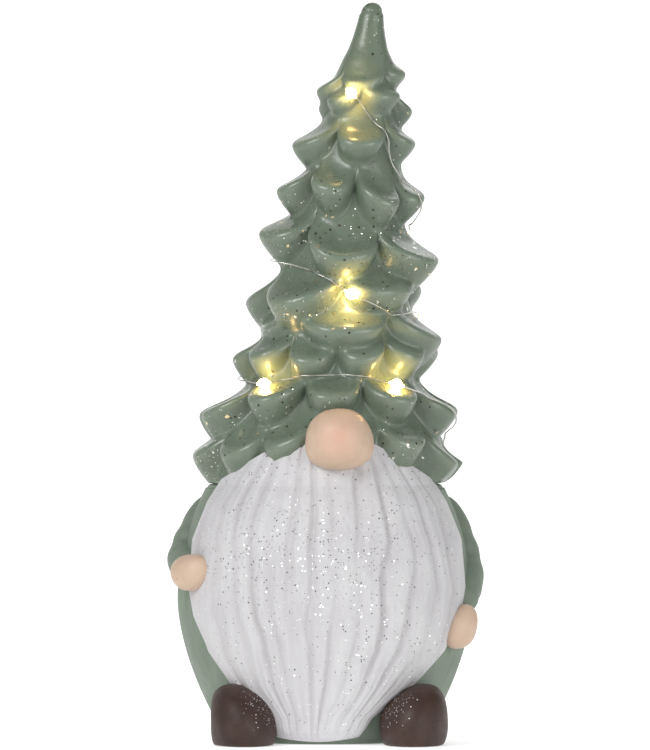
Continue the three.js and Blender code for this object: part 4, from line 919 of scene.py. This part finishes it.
for side, line in SLEEVES.items():
    azimuths, heights, outsides = (np.array(column, float) for column in zip(*line))
    path = smooth_line(on_body(np.radians(azimuths), heights, outsides), 0.35)
    t = np.linspace(0, 1, len(path))
    fullness = np.sqrt(np.maximum(1 - (1 - 2 * t) ** 4, 0.0004))
    hem = 0.5 * np.exp(-(((t - 0.9) / 0.035) ** 2)) - 0.35 * np.exp(-(((t - 0.83) / 0.03) ** 2))
    folds = 0.3 * np.sin(31 * t + 0.5) * np.exp(-(((t - 0.5) / 0.22) ** 2))
    radius = (SHOULDER_SIZE + (CUFF_SIZE - SHOULDER_SIZE) * t + folds + hem) * fullness
    rings = hose(path, radius, 72, (0, 0, 1))
    skin("sleeve_" + side + "_limb", rings, sage_matt, "sleeve_" + side)

# ------------------------------------------------------------------ shoes
# Two toe caps of clay set under the beard's sides, leaning outwards at the top, flat on the
# floor, and painted a satin dark brown. Glitter from the beard has settled on their inner sides.
SHOE_HALF = np.array([13.6, 20.0, 16.5])
SHOE_SOLE = 8
SHOE_LEAN = 4.5
BROWN_DARK, BROWN_LIGHT = (0.026, 0.0095, 0.0050), (0.044, 0.0175, 0.0100)
brown_paint, tree, shader = painted("brown_paint", BROWN_DARK, BROWN_LIGHT, 0.55, (50, 50, 50), 0.10)
spilt = mask_of(tree, "spilt")
spill = flakes(tree, 1200, combine(tree, "MULTIPLY", spilt, 0.7), 0.32, 0.0002)
brown = shader.inputs["Base Color"].links[0].from_socket
dark_or_bright = spread(tree, spill["Pick"], 0.35, 0.45)
spill_tone = blend_colour(tree, dark_or_bright, (0.06, 0.06, 0.06), (0.9, 0.9, 0.9))
feed(shader, "Base Color", blend_colour(tree, spill["Mask"], brown, spill_tone))
feed(shader, "Metallic", combine(tree, "MULTIPLY", spill["Mask"], 0.8))
for side, sign in (("left", -1), ("right", 1)):
    low, high = box_mm("shoe_" + side)
    outer = low[0] if sign < 0 else high[0]
    centre = np.array([outer - sign * SHOE_HALF[0], low[1] + SHOE_HALF[1], SHOE_SOLE])
    rings = lump((0, 0, 0), SHOE_HALF, 110, 130, 2.15, 0.012, 3.0 + sign)
    rise = np.maximum(rings[..., 2] / SHOE_HALF[2], 0)
    rings[..., 0] += sign * SHOE_LEAN * (rise**2 - 0.35)
    rings += centre
    sole = rings[..., 2]
    rings[..., 2] = 0.5 * (sole + np.sqrt(sole**2 + 1.2)) - 0.5 * (np.sqrt(1.2 + SHOE_SOLE**2) - SHOE_SOLE)
    rings[..., 2] -= rings[..., 2].min()
    inner = np.clip((1 - sign * (rings[..., 0] - centre[0])) / 8, 0, 1)
    inner = inner * np.clip((rings[..., 2] - 6) / 9, 0, 1)
    front_half = np.clip((centre[1] + 4 - rings[..., 1]) / 10, 0, 1)
    masks = {"spilt": inner * front_half}
    skin("shoe_" + side + "_cap", rings, brown_paint, "shoe_" + side, masks=masks)

# ------------------------------------------------------------------ string of lights
# A pair of thin enamelled wires leaves the back of the body through a soft plug, winds up round
# the hat and ends near its tip. A bead of clear resin is cast round both wires at each diode.
STRAND_RADIUS = 0.17
DROP_RADIUS, DROP_LENGTH = 2.1, 4.4
EXIT_HEIGHT, PLUG_RADIUS, PLUG_HEAD = 94, 3, 4.2
LAY_CLEARANCE, LAY_STEP, LAY_SPREAD, LAY_HEIGHT = 0.8, 7, 3, 1.0
DROP_ROOM = 1.25
TAUT_PASSES, SAG_SLACK = 2, 0.965

# The route round the hat: azimuth, height above the hat's foot, and whether a bead sits there.
ROUTE = [
    (152, 0, 0), (128, 10, 0), (105, 16, 0), (85, 20.5, 0), (62, 33, 0), (36, 40.2, 1), (19, 43.4, 0),
    (5, 44.2, 0), (-20, 43.7, 0), (-41, 40.6, 1), (-66, 41, 0), (-90, 42, 0), (-112, 46, 0), (-146, 53, 1),
    (-190, 59, 0), (-224, 63, 1), (-265, 69.5, 0), (-290, 69.5, 0), (-322, 68.2, 0), (-338, 72.2, 0),
    (-354.5, 76.5, 1), (-370, 82.2, 0), (-385, 85.7, 0), (-425, 89.7, 0), (-498, 94, 1), (-540, 97, 0),
    (-588, 101, 1),
    (-622, 103, 0), (-642, 106, 0), (-656, 117, 0), (-668, 127, 0), (-690, 143, 0), (-734, 158, 1),
]


def route_points():
    """The route in steps of a few degrees, each laid on the hat, then pulled taut over the lobes.

    A point's radius is the hat's largest near it and a clearance. Each pass then lifts a point to
    a little inside the straight line between its neighbours."""
    stops = np.array(ROUTE, float)
    counts = np.ceil(np.abs(np.diff(stops[:, 0])) / LAY_STEP).astype(int)
    at = np.concatenate([i + np.arange(n) / n for i, n in enumerate(counts)] + [[len(counts)]])
    azimuth = np.interp(at, np.arange(len(stops)), stops[:, 0])
    z = HAT_FOOT + np.interp(at, np.arange(len(stops)), stops[:, 1])
    bead = (at == np.round(at)) & (stops[np.round(at).astype(int), 2] > 0)
    beside = np.radians(np.linspace(-LAY_SPREAD, LAY_SPREAD, 5))
    sideways = np.radians(azimuth)[:, None, None] + beside[None, :, None]
    upward = z[:, None, None] + np.linspace(-LAY_HEIGHT, LAY_HEIGHT, 5)[None, None, :]
    nearby = hat_surface(*np.broadcast_arrays(sideways, upward))[0].max((1, 2))
    radius = nearby + np.where(bead, DROP_RADIUS * DROP_ROOM + GAP, LAY_CLEARANCE)
    for _ in range(TAUT_PASSES):
        for i in range(1, len(radius) - 1):
            radius[i] = max(radius[i], (radius[i - 1] + radius[i + 1]) / 2 * SAG_SLACK)
    return on_hat(np.radians(azimuth), radius, z), bead


def spun(profile, axis_from, axis_to, sides=48):
    """Rings of a profile of radii and distances turned about a line between two points."""
    start, stop = np.asarray(axis_from, float), np.asarray(axis_to, float)
    forward = (stop - start) / np.linalg.norm(stop - start)
    helper = np.array([0, 0, 1.0]) if abs(forward[2]) < 0.9 else np.array([1.0, 0, 0])
    side = np.cross(forward, helper)
    side /= np.linalg.norm(side)
    square = np.cross(side, forward)
    turn = np.linspace(0, 2 * np.pi, sides, endpoint=False)[:, None]
    ring = side * np.cos(turn) + square * np.sin(turn)
    radius, distance = np.array(profile, float).T
    return start + radius[:, None, None] * ring + distance[:, None, None] * forward


exit_wall = on_body(np.pi, np.array(float(EXIT_HEIGHT)), 0)
route, bead_here = route_points()
way_out = exit_wall + np.array([(0, -2.5, 0), (0, 1, 0), (0, 4.5, 0), (4, 8, 1), (13, 8, 4)])
wire_path = smooth_line(np.vstack([way_out, route]), 0.55)
wire_run = np.arange(len(wire_path)) * 0.55
twist = 0.6 * np.sin(wire_run / 19) + 0.5 * np.sin(wire_run / 7.3 + 1)
apart = STRAND_RADIUS * (1.08 + 0.10 * np.sin(wire_run / 23))
silver_wire = plated("silver_wire", (0.74, 0.72, 0.67), 0.28, 0.01)


def wire_pair(node, path, up, spin, offset):
    """Two strands side by side along a path, twisted by an angle that can change along it."""
    for number, half_turn in enumerate((0, np.pi)):
        strand = hose(path, STRAND_RADIUS, 8, up, spin + half_turn, offset)
        skin(f"{node}_strand_{number + 1}", strand, silver_wire, node)


wire_pair("light_wire", wire_path, (0, 0, 1), twist, apart[:, None])

plug_white = moulded("soft_plug", (0.62, 0.61, 0.57), (0.7, 0.69, 0.65), 0.65, 0.03)
plug_profile = [
    (0.8, -5.5), (2.7, -5.5), (PLUG_RADIUS, -5.2), (PLUG_RADIUS, -1.5), (PLUG_HEAD, -1.5), (PLUG_HEAD, 1.2),
    (PLUG_HEAD - 0.25, 1.75), (PLUG_HEAD - 0.8, 2.0), (1.4, 2.0), (1.0, 2.1), (0.8, 1.9),
]
plug_rings = spun(plug_profile, exit_wall, exit_wall + (0, 1, 0))
skin("exit_plug_moulded", plug_rings, plug_white, "exit_plug", wrap=True)

board_low, board_high = box_mm("circuit_board")
lead_start = np.array([board_high[0] - 3, (board_low[1] + board_high[1]) / 2, board_high[2] + 0.4])
lead_points = np.array([
    lead_start, lead_start + (0, 0, 8), (9, AXIS_Y + 20, 32), (3, AXIS_Y + 34, 58),
    (0, exit_wall[1] - BODY_WALL - 8, EXIT_HEIGHT - 14), exit_wall + (0, -BODY_WALL - 5, 0),
    exit_wall + (0, -2.8, 0),
])
lead_path = smooth_line(lead_points, 0.7)
wire_pair("lead_wire", lead_path, (1, 0, 0), 0, STRAND_RADIUS * 1.08)

# Beads: lit from inside, whitest in the middle and yellower towards both ends.
GLOW_STRENGTH = 80
RESIN = (0.95, 0.85, 0.6)
lit_resin, tree, shader = finish("lit_resin", 0.12, 0.0, RESIN, Coat_Weight=1.0, Coat_Roughness=0.05)
core = mask_of(tree, "core")
feed(shader, "Emission Color", blend_colour(tree, core, (1.0, 0.50, 0.09), (1.0, 0.70, 0.26)))
shader.inputs["Emission Strength"].default_value = GLOW_STRENGTH
bubbles = grain(tree, 900, 3000, 0.3)
roughen(tree, shader, bubbles, 0.05)
theta = np.linspace(0.05, np.pi - 0.05, 40)
wire_slope = np.gradient(wire_path, axis=0)
for number, place in enumerate(route[bead_here]):
    nearest = np.argmin(np.linalg.norm(wire_path - place, axis=1))
    middle, ahead = wire_path[nearest], wire_slope[nearest]
    lopsided = 1 + 0.06 * np.sin(number * 2.3 + theta)
    neck = 0.45 * np.exp(-((np.sin(theta) / 0.25) ** 2))
    radius = DROP_RADIUS * np.sin(theta) ** 0.9 * lopsided + neck * 0.4
    profile = np.stack([radius, -DROP_LENGTH / 2 * np.cos(theta) * (1 + neck)], -1)
    rings = spun(profile, middle, middle + ahead, 40)
    masks = {"core": np.broadcast_to(np.sin(theta)[:, None] ** 1.5, rings.shape[:2])}
    drop = f"light_drop_{number + 1}"
    skin(drop + "_resin", rings, lit_resin, drop, masks=masks)

# ------------------------------------------------------------------ sizes
size = {"cad": [list(map(float, corner)) for corner in cad_box]}
size["visual"] = [list(map(float, corner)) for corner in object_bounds()]
